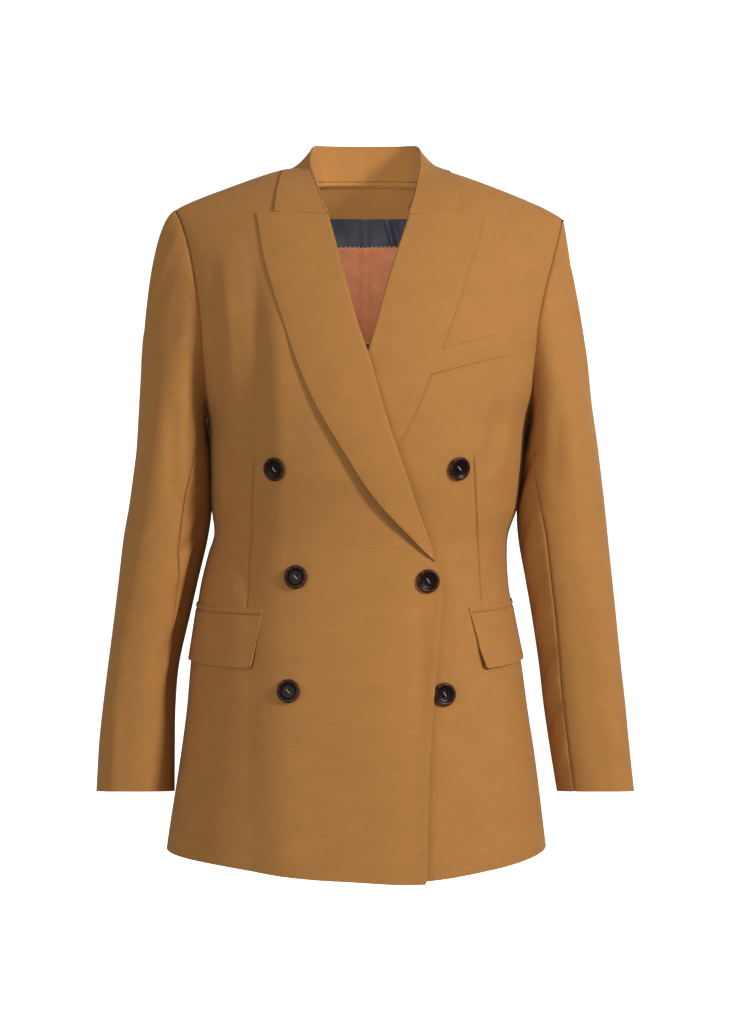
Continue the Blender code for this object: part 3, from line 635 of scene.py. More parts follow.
def add_sheet(name, points, cut, finishes, node, wall, own_inside=None, soft_edge=0.5):
    """A sewn piece: its outer side is the grid, and its wall goes inward from it.

    finishes are the outer and the inner finish. own_inside marks the grid faces whose inner side
    is the outer finish too, such as a hem's turning.
    """
    rows, columns = points.shape[:2]
    shape = bmesh.new()
    bmesh.ops.create_grid(shape, x_segments=columns - 1, y_segments=rows - 1, size=0.5)
    mesh = new_mesh(name, shape)
    flat = np.empty(len(mesh.vertices) * 3)
    mesh.vertices.foreach_get("co", flat)
    flat = flat.reshape(-1, 3)
    column = np.rint((flat[:, 0] + 0.5) * (columns - 1)).astype(int)
    row = np.rint((flat[:, 1] + 0.5) * (rows - 1)).astype(int)
    mesh.vertices.foreach_set("co", (points[row, column] * MM).ravel())
    corner = np.empty(len(mesh.loops), np.int32)
    mesh.loops.foreach_get("vertex_index", corner)
    grain = mesh.uv_layers.new(name="grain")
    grain.data.foreach_set("uv", (cut[row, column] * MM)[corner].ravel())
    for finish in (finishes[0], finishes[1], finishes[0], finishes[0]):
        mesh.materials.append(finish)
    if own_inside is not None:
        corner = corner.reshape(-1, 4)
        kinds = np.where(own_inside[row[corner].min(axis=1), column[corner].min(axis=1)], 2, 0)
        mesh.polygons.foreach_set("material_index", kinds.astype(np.int32))
    mesh.shade_smooth()
    piece = new_object(name, mesh)
    solid = piece.modifiers.new("wall", "SOLIDIFY")
    solid.thickness = wall * MM
    solid.offset = -1
    solid.use_quality_normals = True
    solid.material_offset = 1
    soft = piece.modifiers.new("soft edge", "BEVEL")
    soft.width = min(soft_edge, wall * SOFT_MOST) * MM
    soft.segments = 2
    soft.limit_method = "ANGLE"
    soft.angle_limit = math.radians(SOFT_ANGLE)
    soft.harden_normals = True
    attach(piece, "root")
    if node:
        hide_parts(node)
    return piece


def declare(points):
    width, length, area = cut_size(points)


def add_thread(name, paths, radius, finish):
    """Short lengths of thread lying on the cloth, each through its own points."""
    line = bpy.data.curves.new(name, "CURVE")
    line.dimensions = "3D"
    line.bevel_depth = radius * MM
    line.bevel_resolution = 2
    line.use_fill_caps = True
    for path in paths:
        spline = line.splines.new("POLY")
        spline.points.add(len(path) - 1)
        for point, place in zip(spline.points, path):
            point.co = (*(np.asarray(place) * MM), 1)
    line.materials.append(finish)
    piece = new_object(name, line)
    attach(piece, "root")
    return piece


# ---------------------------------------------------------------- finishes


class Nodes:
    """A material's node tree, written one node at a time."""

    def __init__(self, name):
        self.material = bpy.data.materials.new(name)
        self.material.use_nodes = True
        self.tree = self.material.node_tree
        self.shader = self.tree.nodes["Principled BSDF"]

    def add(self, kind, inputs=None, **choices):
        node = self.tree.nodes.new(kind)
        for name, value in choices.items():
            setattr(node, name, value)
        for name, value in (inputs or {}).items():
            self.put(node.inputs[name], value)
        return node

    def put(self, socket, value):
        if isinstance(value, bpy.types.NodeSocket):
            self.tree.links.new(value, socket)
        else:
            socket.default_value = value

    def grain(self, across, up):
        """The cloth's own coordinates, with a pattern's size across and up in millimetres."""
        place = self.add("ShaderNodeUVMap", uv_map="grain")
        scale = (1000 / across, 1000 / up, 1)
        mapped = self.add("ShaderNodeMapping", {"Vector": place.outputs["UV"], "Scale": scale})
        return mapped.outputs["Vector"]

    def noise(self, vector, scale=1.0, detail=2.0, roughness=0.5, distortion=0.0):
        inputs = {"Scale": scale, "Detail": detail, "Roughness": roughness, "Distortion": distortion}
        inputs["Vector"] = vector
        return self.add("ShaderNodeTexNoise", inputs).outputs["Fac"]

    def waves(self, vector, direction, distortion=0.6):
        inputs = {"Vector": vector, "Scale": 1.0, "Distortion": distortion, "Detail": 1.0}
        return self.add("ShaderNodeTexWave", inputs, bands_direction=direction).outputs["Fac"]

    def sum(self, first, second, share=1.0):
        scaled = self.add("ShaderNodeMath", {0: second, 1: share}, operation="MULTIPLY").outputs[0]
        return self.add("ShaderNodeMath", {0: first, 1: scaled}, operation="ADD").outputs[0]

    def product(self, first, second):
        return self.add("ShaderNodeMath", {0: first, 1: second}, operation="MULTIPLY").outputs[0]

    def ramp(self, value, low, high, from_low=0.0, to_high=1.0):
        inputs = {"Value": value, "From Min": low, "From Max": high}
        inputs.update({"To Min": from_low, "To Max": to_high})
        return self.add("ShaderNodeMapRange", inputs).outputs["Result"]

    def mix(self, share, first, second, blend="MIX"):
        node = self.add("ShaderNodeMix", data_type="RGBA", blend_type=blend)
        self.put(node.inputs[0], share)
        self.put(node.inputs[6], first)
        self.put(node.inputs[7], second)
        return node.outputs[2]

    def bump(self, height, strength, distance):
        inputs = {"Height": height, "Strength": strength, "Distance": distance}
        return self.add("ShaderNodeBump", inputs).outputs["Normal"]

    def finish(self, **inputs):
        for name, value in inputs.items():
            self.put(self.shader.inputs[name.replace("_", " ")], value)
        return self.material


def tinted(colour, share):
    """A colour made lighter, or darker, by a share."""
    return tuple(min(channel * share, 1.0) for channel in colour[:3]) + (1.0,)


def wool(name, colour, depth=1.0):
    """Fine plain weave wool: threads both ways, uneven slubs along the weft, a soft nap."""
    n = Nodes(name)
    weft_slub = n.ramp(n.noise(n.grain(15, 1.1), detail=2.5, roughness=0.6), 0.55, 0.76)
    warp_slub = n.ramp(n.noise(n.grain(1.1, 16), detail=2.5, roughness=0.6), 0.56, 0.77)
    dark_weft = n.ramp(n.noise(n.grain(11, 1.3), scale=1.3, detail=2.0), 0.55, 0.78)
    mottle = n.noise(n.grain(34, 26), detail=3.0)
    fuzz = n.noise(n.grain(0.7, 0.7), detail=2.0)
    warp = n.waves(n.grain(3.2, 3.2), "X")
    weft = n.waves(n.grain(3.4, 3.4), "Y")
    weave = n.product(warp, weft)
    base = n.mix(n.ramp(mottle, 0.3, 0.7, 0.0, 0.6), tinted(colour, 0.93), tinted(colour, 1.06))
    base = n.mix(n.ramp(weave, 0, 1, 0.0, 0.22 * depth), base, tinted(colour, 1.35))
    base = n.mix(n.product(weft_slub, 0.36 * depth), base, tinted(colour, 1.5))
    base = n.mix(n.product(warp_slub, 0.3 * depth), base, tinted(colour, 1.4))
    base = n.mix(n.product(dark_weft, 0.28 * depth), base, tinted(colour, 0.62))
    height = n.sum(n.sum(weave, weft_slub, 0.8), fuzz, 0.5)
    return n.finish(
        Base_Color=base,
        Roughness=n.ramp(fuzz, 0.3, 0.7, 0.78, 0.92),
        Specular_IOR_Level=0.18,
        Sheen_Weight=0.1,
        Sheen_Roughness=0.45,
        Sheen_Tint=(1.0, 0.86, 0.66, 1.0),
        Normal=n.bump(height, 0.35, 0.00022),
    )


def satin(name, colour, shine, weft_size):
    """Satin: long floats along the weft, with slight unevenness, and a painted highlight: the floats are
    drawn lighter in colour where they catch the light.
    """
    n = Nodes(name)
    floats = n.noise(n.grain(7, weft_size), detail=2.0)
    cloud = n.noise(n.grain(30, 22), detail=2.0)
    base = n.mix(n.ramp(cloud, 0.3, 0.7), tinted(colour, 0.85), tinted(colour, 1.15))
    # Painted highlight: the floats' lighter colour stands for the light they catch.
    base = n.mix(n.ramp(floats, 0.45, 0.7, 0.0, 0.35), base, tinted(colour, 1.6))
    return n.finish(
        Base_Color=base,
        Roughness=n.ramp(floats, 0.3, 0.7, shine, shine + 0.12),
        Specular_IOR_Level=0.5,
        Sheen_Weight=0.1,
        Normal=n.bump(floats, 0.2, 0.0002),
    )


def thread(name, colour):
    n = Nodes(name)
    place = n.add("ShaderNodeTexCoord").outputs["Object"]
    twist = n.noise(place, scale=2600.0, detail=1.0)
    base = n.mix(twist, tinted(colour, 0.75), tinted(colour, 1.2))
    return n.finish(Base_Color=base, Roughness=0.7, Normal=n.bump(twist, 0.4, 0.0002))


def horn(name, dark, warm):
    """Polished dark horn: near black, with warm brown streaks that show in the rim."""
    n = Nodes(name)
    place = n.add("ShaderNodeTexCoord").outputs["Object"]
    stretched = n.add("ShaderNodeMapping", {"Vector": place, "Scale": (120, 330, 120)}).outputs[0]
    streaks = n.noise(stretched, scale=1.0, detail=4.0, roughness=0.6, distortion=1.2)
    flecks = n.noise(place, scale=900.0, detail=2.0)
    parts = n.add("ShaderNodeSeparateXYZ", {"Vector": place})
    across = n.product(parts.outputs["X"], parts.outputs["X"])
    along = n.product(parts.outputs["Y"], parts.outputs["Y"])
    away = n.add("ShaderNodeMath", {0: n.sum(across, along)}, operation="SQRT").outputs[0]
    rim = n.ramp(away, 0.0078, 0.0112)
    warmth = n.product(n.ramp(streaks, 0.38, 0.66), n.ramp(rim, 0, 1, 0.05, 1.0))
    base = n.mix(warmth, dark, warm)
    return n.finish(
        Base_Color=base,
        Roughness=n.ramp(flecks, 0.3, 0.7, 0.22, 0.34),
        Specular_IOR_Level=0.14,
        Normal=n.bump(flecks, 0.06, 0.0002),
    )


def finish_of(name):
    """Each finish by name, made once."""
    made = bpy.data.materials.get(name)
    if made:
        return made
    cloth = settings().cloth
    trim = settings().trim
    recipes = {
        "camel wool": (wool, cloth.wool_colour),
        "camel wool inside": (wool, tinted(cloth.wool_colour, 0.9), 0.7),
        "navy lining": (satin, trim.lining_colour, 0.34, 0.9),
        "copper label": (satin, trim.label_colour, 0.42, 0.7),
        # The pick stitch thread is drawn dark brown: partly the thread, partly painted shade for the
        # small shadows along the stitches.
        "camel thread": (thread, trim.thread_colour),
        "label thread": (thread, trim.label_thread_colour),
        "button thread": (thread, trim.button_thread_colour),
        "dark horn": (horn, trim.horn_colour, trim.horn_warm_colour),
    }
    make, *looks = recipes[name]
    return make(name, *looks)


def cloth_finishes():
    """Wool outside and lining inside."""
    return finish_of("camel wool"), finish_of("navy lining")


def wool_finishes():
    """Wool on both sides."""
    return finish_of("camel wool"), finish_of("camel wool inside")


# ---------------------------------------------------------------- body panels

HEM_TURNING = 42.0
FACING_WIDTH = 78.0
# A front is a little thicker than the other panels, so that its edge rounds
FRONT_EXTRA = 0.5
FRONT_SOFT_EDGE = 0.9
# About how far across and up each panel goes, which sets the number of its grid's lines
FRONT_SPAN = {"across": 205, "low": 455, "high": 300}
SIDE_SPAN = {"across": 95, "up": 450, "step": 1.2}
BACK_SPAN = {"across": 195, "low": 470, "high": 270}
# From this share up, the seam between side and back turns to meet the armhole
SEAM_BEND = 0.78
# A place on the middle line itself has no side, so angles and places stay this far from it
OFF_MIDDLE = 1e-6
CLEAR_OF_MIDDLE = 1e-3


def front_grid(side, step):
    """A front's ring angles and heights: level rows below the underarm, then up to the shoulder seam."""
    wide, low, high = FRONT_SPAN.values()
    across = spread(wide, step, (0, wide * DART_COLUMN, wide))[None, :]
    low_rows = spread(low, step, (0,))[:, None]
    high_rows = spread(high, step, (high,))[1:, None]
    end = side * math.pi / 2

    def bend(dart_share):
        inside = across / DART_COLUMN * dart_share
        outside = 1 - (1 - across) / (1 - DART_COLUMN) * (1 - dart_share)
        return np.where(across < DART_COLUMN, inside, outside)

    def lower(share):
        level = HEM["front"] + (UNDERARM - HEM["front"]) * share
        first = angle_at(inner_edge(side, level), level)
        dart = DART[side]
        slope = (dart["end"][0] - dart["top"][0]) / (dart["end"][1] - dart["top"][1])
        dart_x = dart["top"][0] + slope * (level - dart["top"][1])
        s = bend((angle_at(dart_x, level) - first) / (end - first))
        angle = first + (end - first) * s
        hem = hem_height(angle)
        x = ring_point(angle, hem)[..., 0]
        if side == RIGHT:
            hem = hem - CORNER_DROP * smooth(CORNER_START, FRONT_EDGE.at("away", hem), x)
        else:
            under_lap = UNDER_LAP_RISE * smooth(*UNDER_LAP_FADE, x)
            hem = hem - LAPPED_DROP * (smooth(*LAPPED_FADE, x) - under_lap)
        return s, angle, hem + (UNDERARM - hem) * share

    low_s, low_angle, low_height = lower(low_rows)
    top_s = low_s[-1:]
    neck_x = side * NECK_POINT

    def inner_height(t):
        return UNDERARM + (shoulder_height(neck_x) - UNDERARM) * np.sin(t * math.pi / 2)

    def bottom_x(s):
        first = angle_at(inner_edge(side, UNDERARM), UNDERARM)
        return ring_point(first + (end - first) * s, UNDERARM)[..., 0]

    def top_x(s):
        return side * between(NECK_POINT, SHOULDER_POINT[side], s)

    x, height = patch(
        top_s,
        high_rows,
        lambda s: (bottom_x(s), UNDERARM),
        lambda s: (top_x(s), shoulder_height(top_x(s))),
        lambda t: (np.where(t < 1, inner_edge(side, inner_height(t)), neck_x), inner_height(t)),
        lambda t: (side * armhole_away(180 * (1 - t), side), armhole_height(180 * (1 - t), side)),
    )
    angle = np.concatenate([low_angle, angle_at(x, height)])
    height = np.concatenate([low_height + 0 * low_angle, height])
    return as_worn(side, angle, height)


def dart_dip(side, x, height):
    """How far the cloth dips along the waist dart, and fills beside it."""
    dart = DART[side]
    (top_x, top), (end_x, end) = dart["top"], dart["end"]
    share = (height - top) / (end - top)
    off = x - between(top_x, end_x, share)
    along = smooth(*DART_START, share) * (1 - smooth(*DART_STOP, share))
    return along * (DART_DEPTH * hill(0, DART_REACH, off) + DART_FILL * hill(0, DART_FILL_REACH, off))


def add_front(side, word):
    angle, height = front_grid(side, grid_step())
    base = ring_point(angle, height)
    x = base[..., 0]
    out = lap_rise(side, x, height) + body_folds(base, angle) - dart_dip(side, x, height)
    points = on_ring(angle, height, out)
    seams = ("left", "high") if side == RIGHT else ("right", "high")
    points = sewn(points, seams)
    away = edge_distances(points)
    facing = away["right" if side == RIGHT else "left"] < FACING_WIDTH
    own = (facing | (away["low"] < HEM_TURNING))[:-1, :-1]
    piece = add_sheet(f"cloth_front_{word}", points, ring_cut(angle, height), cloth_finishes(),
                      f"front_{word}", settings().cloth.wall / MM + FRONT_EXTRA, own,
                      FRONT_SOFT_EDGE)
    declare(points)


def side_grid(side, step):
    """A side panel's ring angles and heights, from the hem to the armhole."""
    across, rows = across_and_up(SIDE_SPAN["across"], SIDE_SPAN["up"], step)
    turn = between(180.0, SIDE_TURN, across)
    top_height = armhole_height(turn, side)
    top_angle = np.abs(angle_at(side * armhole_away(turn, side), top_height, turn > 180))
    level = between(HEM["back"], top_height, rows)
    seam = np.radians(BACK_SIDE_SEAM.at("angle", level))
    low_angle = between(math.pi / 2, seam, across)
    angle = side * between(low_angle, top_angle, smooth(SEAM_BEND, 1.0, rows))
    height = between(hem_height(angle), top_height, rows)
    return as_worn(side, angle, height)


def back_grid(side, step):
    """A back half's ring angles and heights, from the side seam to the middle of the back."""
    wide, low, high = BACK_SPAN.values()
    across = spread(wide, step, (0, wide))[None, :]
    low_rows = spread(low, step, (0,))[:, None]
    high_rows = spread(high, step, (high,))[1:, None]
    side_top = armhole_height(SIDE_TURN, side)
    top_angle = np.abs(angle_at(side * armhole_away(SIDE_TURN, side), side_top, True))

    def lower(share, s):
        level = between(HEM["back"], side_top, share)
        seam = np.radians(BACK_SIDE_SEAM.at("angle", level))
        seam = between(seam, top_angle, smooth(SEAM_BEND, 1.0, share))
        angle = side * between(seam, math.pi - OFF_MIDDLE, s)
        return angle, between(hem_height(angle), side_top, share)

    low_angle, low_height = lower(low_rows, across)
    neck_share = 1 - NECK_POINT / SHOULDER_POINT[side]

    def top_away(s):
        shoulder = between(SHOULDER_POINT[side], NECK_POINT, s / neck_share)
        neck = NECK_POINT * (1 - s) / (1 - neck_share)
        return np.where(s <= neck_share, shoulder, neck)

    def top_height(s):
        away = top_away(s)
        return np.where(s <= neck_share, shoulder_height(side * away), BACK_NECK.at("height", away))

    def outer(t):
        turn = between(SIDE_TURN, 360.0, t)
        return side * armhole_away(turn, side), armhole_height(turn, side)

    middle_top = float(BACK_NECK.at("height", 0))
    x, height = patch(
        across,
        high_rows,
        lambda s: (ring_point(lower(1.0, s)[0], side_top)[..., 0], side_top),
        lambda s: (side * top_away(s), top_height(s)),
        outer,
        lambda t: (side * OFF_MIDDLE, between(side_top, middle_top, np.sin(t * math.pi / 2))),
    )
    x = side * np.maximum(np.abs(x), CLEAR_OF_MIDDLE)
    angle = np.concatenate([low_angle, angle_at(x, height, True)])
    height = np.concatenate([low_height + 0 * low_angle, height])
    return as_worn(side, angle, height)


def add_panel(name, angle, height):
    """A side panel or a back half, sewn on three sides and turned up at the hem."""
    base = ring_point(angle, height)
    points = sewn(on_ring(angle, height, body_folds(base, angle)), ("left", "right", "high"))
    own = (edge_distances(points)["low"] < HEM_TURNING)[:-1, :-1]
    piece = add_sheet(f"cloth_{name}", points, ring_cut(angle, height), cloth_finishes(), name,
                      settings().cloth.wall / MM, own)
    declare(points)


# ---------------------------------------------------------------- sleeves

SLEEVE_COLUMNS = ("height", "outer", "inner", "front", "back")
SLEEVE = {
    RIGHT: Table(
        SLEEVE_COLUMNS,
        (
            (-652, 284, 201.5, -44, 38),
            (-600, 280.5, 201, -48, 40),
            (-560, 276, 200, -51, 42),
            (-517, 270.5, 196, -54, 45),
            (-464, 263.5, 184, -58, 49),
            (-427, 259, 175.5, -61, 53),
            (-384, 254, 165.5, -63, 58),
            (-350, 248, 161.2, -65, 61),
            (-300, 241, 161.5, -67, 65),
        ),
    ),
    LEFT: Table(
        SLEEVE_COLUMNS,
        (
            (-652, 283.5, 202, -44, 38),
            (-600, 277.5, 193.5, -48, 40),
            (-560, 273.5, 187.5, -51, 42),
            (-517, 268.5, 182.5, -54, 45),
            (-464, 263, 174.5, -58, 49),
            (-427, 259, 168, -61, 53),
            (-384, 254.5, 160.5, -63, 58),
            (-350, 251, 159, -65, 61),
            (-300, 245, 163.5, -67, 65),
        ),
    ),
}
SLEEVE_HEAD_END = -300.0
CUFF = -652.0
CUFF_RISE = 0.13
SLEEVE_SQUARE = 2.15
SLEEVE_START = {
    RIGHT: {"top": (108, 58), "middle": (48, 50), "bottom": (7, 26)},
    LEFT: {"top": (18, 75), "middle": (44, 50), "bottom": (7, 26)},
}
SLEEVE_SWELL = 26.0
SLEEVE_ARRIVE = 110.0
HEAD_SHARE = 0.36
# Where the front seam runs, in degrees round from the outer side, by share down from the armhole
FRONT_SEAM = Table(
    ("share", "right", "left"),
    (
        (0, 147, 151),
        (0.2, 135, 146),
        (0.36, 124, 139),
        (0.42, 114, 126),
        (0.5, 112, 115),
        (0.6, 124, 117),
        (0.7, 136, 120),
        (0.78, 151, 123),
        (0.86, 161, 124),
        (1, 168, 126),
    ),
)
BACK_SEAM_ANGLE = 246.0
CUFF_TURNING = 38.0
# About how far round and down a sleeve's two parts go
TOP_GIRTH = 165
UNDER_GIRTH = 85
SLEEVE_LENGTH = 600
# The grain's millimetres for each degree round a sleeve
SLEEVE_GRAIN = 0.75
# Round each sleeve by turn in degrees (0 outer, 90 front, 180 inner), and height
SLEEVE_FOLDS = {
    RIGHT: Folds(
        (40, -62, 12, -205, 3.0, 6, 2),
        (28, -66, 0, -210, -3.4, 4.5, 2),
        (146, -335, 158, -570, -8.0, 16, 2),
        (60, -110, 66, -190, -2.4, 14, 2),
        (86, -240, 96, -345, -2.6, 10, 3),
        (128, -255, 112, -345, 2.2, 8, 2),
        (112, -330, 70, -385, -1.8, 9, 4),
        (164, -350, 104, -405, -2.4, 8, 4),
        (158, -372, 118, -436, 2.0, 9, -3),
        (20, -345, 60, -372, -1.2, 10, 2),
        (168, -445, 122, -505, -2.2, 9, 3),
        (166, -470, 128, -530, 1.8, 8, 3),
        (40, -400, 34, -620, 1.6, 20, 3),
        (84, -420, 78, -640, -1.8, 18, -3),
        (62, -560, 56, -650, 1.4, 10, 2),
        (-40, -180, -50, -330, 2.4, 16, 4),
        (-70, -300, -30, -372, -2.4, 12, 4),
        (-90, -350, -40, -410, -2.2, 10, 4),
        (-60, -430, -66, -620, -1.6, 18, 4),
        (-96, -500, -100, -640, 1.4, 14, 3),
    ),
    LEFT: Folds(
        (32, -75, 14, -230, 2.8, 9, -3),
        (10, -90, -6, -260, -2.8, 9, -2),
        (62, -120, 70, -200, -2.2, 14, -2),
        (92, -240, 100, -335, -2.2, 11, 3),
        (126, -285, 168, -336, -3.0, 6, 4),
        (130, -318, 166, -366, 2.2, 6, 3),
        (124, -345, 168, -398, -3.2, 6, 4),
        (130, -385, 166, -432, 2.4, 7, 3),
        (126, -420, 168, -464, -2.8, 5, 3),
        (130, -458, 166, -492, 2.2, 7, 3),
        (124, -496, 168, -534, -3.2, 5, 3),
        (128, -528, 164, -560, 2.2, 6, 2),
        (124, -556, 168, -588, -3.2, 4.5, 2),
        (130, -596, 156, -640, 1.8, 8, 2),
        (20, -352, 64, -380, -1.2, 12, 2),
        (44, -400, 38, -620, 1.6, 22, 3),
        (86, -400, 80, -640, -1.6, 20, 3),
        (60, -560, 64, -650, 1.2, 12, 2),
        (-44, -190, -52, -320, 2.4, 16, 4),
        (-76, -310, -34, -380, -2.4, 12, 4),
        (-84, -380, -44, -440, -2.0, 10, 4),
        (-70, -460, -78, -640, -1.5, 18, 3),
    ),
}
# How far a sleeve's head is tucked below the armhole's edge, and over what distance
HEAD_TUCK = 1.9
HEAD_TUCK_REACH = 0.8
# At the underarm a sleeve starts further out and up than the armhole's seam
UNDERARM_SHIFT = {"out": 1.6, "up": 2.5, "from": 0.35}
# The share down a sleeve over which its creases come up from the armhole
HEAD_SMOOTH = 0.05
# How sharply the way out of the armhole changes from the middle to the top and the bottom
HEAD_MIX = 1.5
# The drop over which the tube's direction is read, and the head's length that has the whole pull
ARRIVE_STEP = 10
ARRIVE_LENGTH = 200


def armhole_facing(turn, side):
    """The way the body faces along the armhole seam."""
    turn = np.remainder(turn, 360)
    height = armhole_height(turn, side)
    return ring_normal(angle_at(side * armhole_away(turn, side), height, turn > 180), height)


def sleeve_ring(side, turn, height):
    """Points of the sleeve's rings: turn 0 is the outer side, 90 the front, 180 the inner side."""
    table = SLEEVE[side]
    outer = table.at("outer", height)
    inner = table.at("inner", height)
    front = table.at("front", height)
    back = table.at("back", height)
    cosine = np.cos(np.radians(turn))
    sine = np.sin(np.radians(turn))
    across = np.sign(cosine) * np.abs(cosine) ** (2 / SLEEVE_SQUARE)
    along = np.sign(sine) * np.abs(sine) ** (2 / SLEEVE_SQUARE)
    x = (outer + inner) / 2 + (outer - inner) / 2 * across
    y = (front + back) / 2 + (front - back) / 2 * along
    tilt = CUFF_RISE * smooth(SLEEVE_HEAD_END, CUFF, height)
    return np.stack(np.broadcast_arrays(side * x, y, height - tilt * (y - (front + back) / 2)), -1)


def sleeve_points(side, turn, share):
    """Points of a sleeve: share 0 at the armhole, HEAD_SHARE at the end of the head, 1 at the cuff."""
    turn, share = np.broadcast_arrays(turn, share)
    along = np.clip((share - HEAD_SHARE) / (1 - HEAD_SHARE), 0, 1)
    tube = sleeve_ring(side, turn, between(SLEEVE_HEAD_END, CUFF, along))
    part = np.clip(share / HEAD_SHARE, 0, 1)[..., None]
    cosine = np.cos(np.radians(turn))
    sine = np.sin(np.radians(turn))
    starts = SLEEVE_START[side]
    mix = np.abs(cosine) ** HEAD_MIX
    outward, drop = (
        between(middle, np.where(cosine > 0, top, bottom), mix)
        for middle, top, bottom in zip(starts["middle"], starts["top"], starts["bottom"])
    )
    leave = np.stack([side * outward, -SLEEVE_SWELL * sine, -drop], -1)
    start = armhole_point(turn, side)
    low = smooth(UNDERARM_SHIFT["from"], 1.0, -cosine)
    start[..., 0] += side * UNDERARM_SHIFT["out"] * low
    start[..., 2] += UNDERARM_SHIFT["up"] * low
    end = sleeve_ring(side, turn, np.full(turn.shape, SLEEVE_HEAD_END))
    ahead = sleeve_ring(side, turn, np.full(turn.shape, SLEEVE_HEAD_END - ARRIVE_STEP))
    reach = np.linalg.norm(end - start, axis=-1, keepdims=True) / ARRIVE_LENGTH
    arrive = unit(ahead - end) * SLEEVE_ARRIVE * np.minimum(reach, 1.0)
    square = part * part
    cube = square * part
    head = (
        start * (2 * cube - 3 * square + 1)
        + leave * (cube - 2 * square + part)
        + end * (3 * square - 2 * cube)
        + arrive * (cube - square)
    )
    return np.where((share >= HEAD_SHARE)[..., None], tube, head)


def add_sleeve(side, word, under):
    girth = UNDER_GIRTH if under else TOP_GIRTH
    across, share = across_and_up(girth, SLEEVE_LENGTH, grid_step())
    share = share[::-1]
    front_turn = FRONT_SEAM.at(word, share)
    if under:
        turn = between(front_turn, BACK_SEAM_ANGLE, across)
    else:
        turn = between(BACK_SEAM_ANGLE - 360, front_turn, across)
    if side == LEFT:
        turn = turn[:, ::-1]
    points = sleeve_points(side, turn, share)
    rise = SLEEVE_FOLDS[side].rise(turn, points[..., 2]) * settings().cloth.fold_depth
    rise = rise * smooth(0.0, HEAD_SMOOTH, share)
    points = points + grid_normals(points) * rise[..., None]
    points = sewn(points, ("left", "right"))
    from_seam = edge_distances(points)["high"]
    tuck = SEAM_DIP * hill(0, SEAM_REACH, from_seam)
    tuck = tuck + HEAD_TUCK * hill(0, HEAD_TUCK_REACH, from_seam)
    points = points - armhole_facing(turn, side) * tuck[..., None]
    own = (edge_distances(points)["low"] < CUFF_TURNING)[:-1, :-1]
    kind = "under_sleeve" if under else "top_sleeve"
    cut = np.stack([turn * side * -SLEEVE_GRAIN, edge_distances(points)["low"]], -1)
    piece = add_sheet(f"cloth_{kind}_{word}", points, cut, cloth_finishes(), f"{kind}_{word}",
                      settings().cloth.wall / MM, own)
    declare(points)


# ---------------------------------------------------------------- lapels and collar

LAPEL_WALL = 1.3
LAPEL_BACK = -1.5
LAPEL_SPAN = {"across": 85, "up": 360, "step": 0.8}
# The steps round a fold of cloth
FOLD_STEPS = 9
# How far behind the roll a lapel goes, and how far above the break it starts
BEHIND_ROLL = 2.2
BREAK_CLEAR = 1.5
# A lapel narrower than these has a smaller roll, or a smaller swell
ROLL_WIDTH = 9
SWELL_WIDTH = 30
# By share up from the break: how round the roll is, how far the edge rests off the front,
# and how far the lapel swells between the two
LAPEL_FORM = {
    RIGHT: Table(
        ("share", "round", "rest", "swell"),
        (
            (0, 1.4, 2.2, 0),
            (0.05, 2.0, 4.6, 0.2),
            (0.12, 2.6, 7.0, 0.5),
            (0.24, 2.7, 5.8, 1.0),
            (0.36, 2.6, 4.8, 1.3),
            (0.5, 2.3, 3.0, 1.2),
            (0.7, 2.1, 1.9, 0.8),
            (1, 2.0, 1.8, 0.3),
        ),
    ),
    LEFT: Table(
        ("share", "round", "rest", "swell"),
        (
            (0, 1.4, 1.8, 0),
            (0.3, 1.5, 2.0, 0.1),
            (0.5, 1.8, 2.2, 0.5),
            (0.7, 2.0, 2.2, 0.8),
            (1, 2.0, 2.1, 0.3),
        ),
    ),
}


def lapel_points(side, step):
    """A lapel's grid: it comes from inside, turns over the roll line and lies on the front."""
    table = LAPEL[side]
    wide, long = LAPEL_SPAN["across"], LAPEL_SPAN["up"]
    rows = spread(long, step, (0, long))[:, None]
    height = between(BREAK_HEIGHT + BREAK_CLEAR, GORGE_HEIGHT, rows)
    roll = table.at("roll", height)
    width = np.abs(table.at("edge", height) - roll)
    round_ = LAPEL_FORM[side].at("round", rows) * np.minimum(1.0, width / ROLL_WIDTH)
    arcs = np.radians(np.linspace(-90, 90, FOLD_STEPS))[None, :]
    arc_away = round_ * (1 - np.cos(arcs))
    arc_out = LAPEL_BACK + round_ * (1 + np.sin(arcs))
    flat = spread(wide, step, (wide,))[None, 1:]
    top = LAPEL_BACK + 2 * round_
    flat_away = between(round_, width, flat)
    rest = LAPEL_FORM[side].at("rest", rows)
    swell = LAPEL_FORM[side].at("swell", rows) * np.sin(flat * math.pi)
    flat_out = between(top, rest, smooth(0, 1, flat)) + swell * np.minimum(1.0, width / SWELL_WIDTH)
    back_away = round_ + BEHIND_ROLL * np.minimum(1.0, width / ROLL_WIDTH)
    away = np.concatenate([back_away, arc_away, flat_away], axis=1)
    out = np.concatenate([LAPEL_BACK + 0 * round_, arc_out, flat_out + 0 * flat_away], axis=1)
    x = roll + side * away
    points = on_body(x, height + 0 * x, out + lap_rise(side, x, height + 0 * x))
    return as_worn(side, points)[0]


def add_lapel(side, word):
    points = lapel_points(side, grid_step(LAPEL_SPAN["step"]))
    piece = add_sheet(f"cloth_lapel_{word}", points, lengths_cut(points), wool_finishes(),
                      f"lapel_{word}", LAPEL_WALL, soft_edge=COLLAR_SOFT_EDGE)
    declare(points)


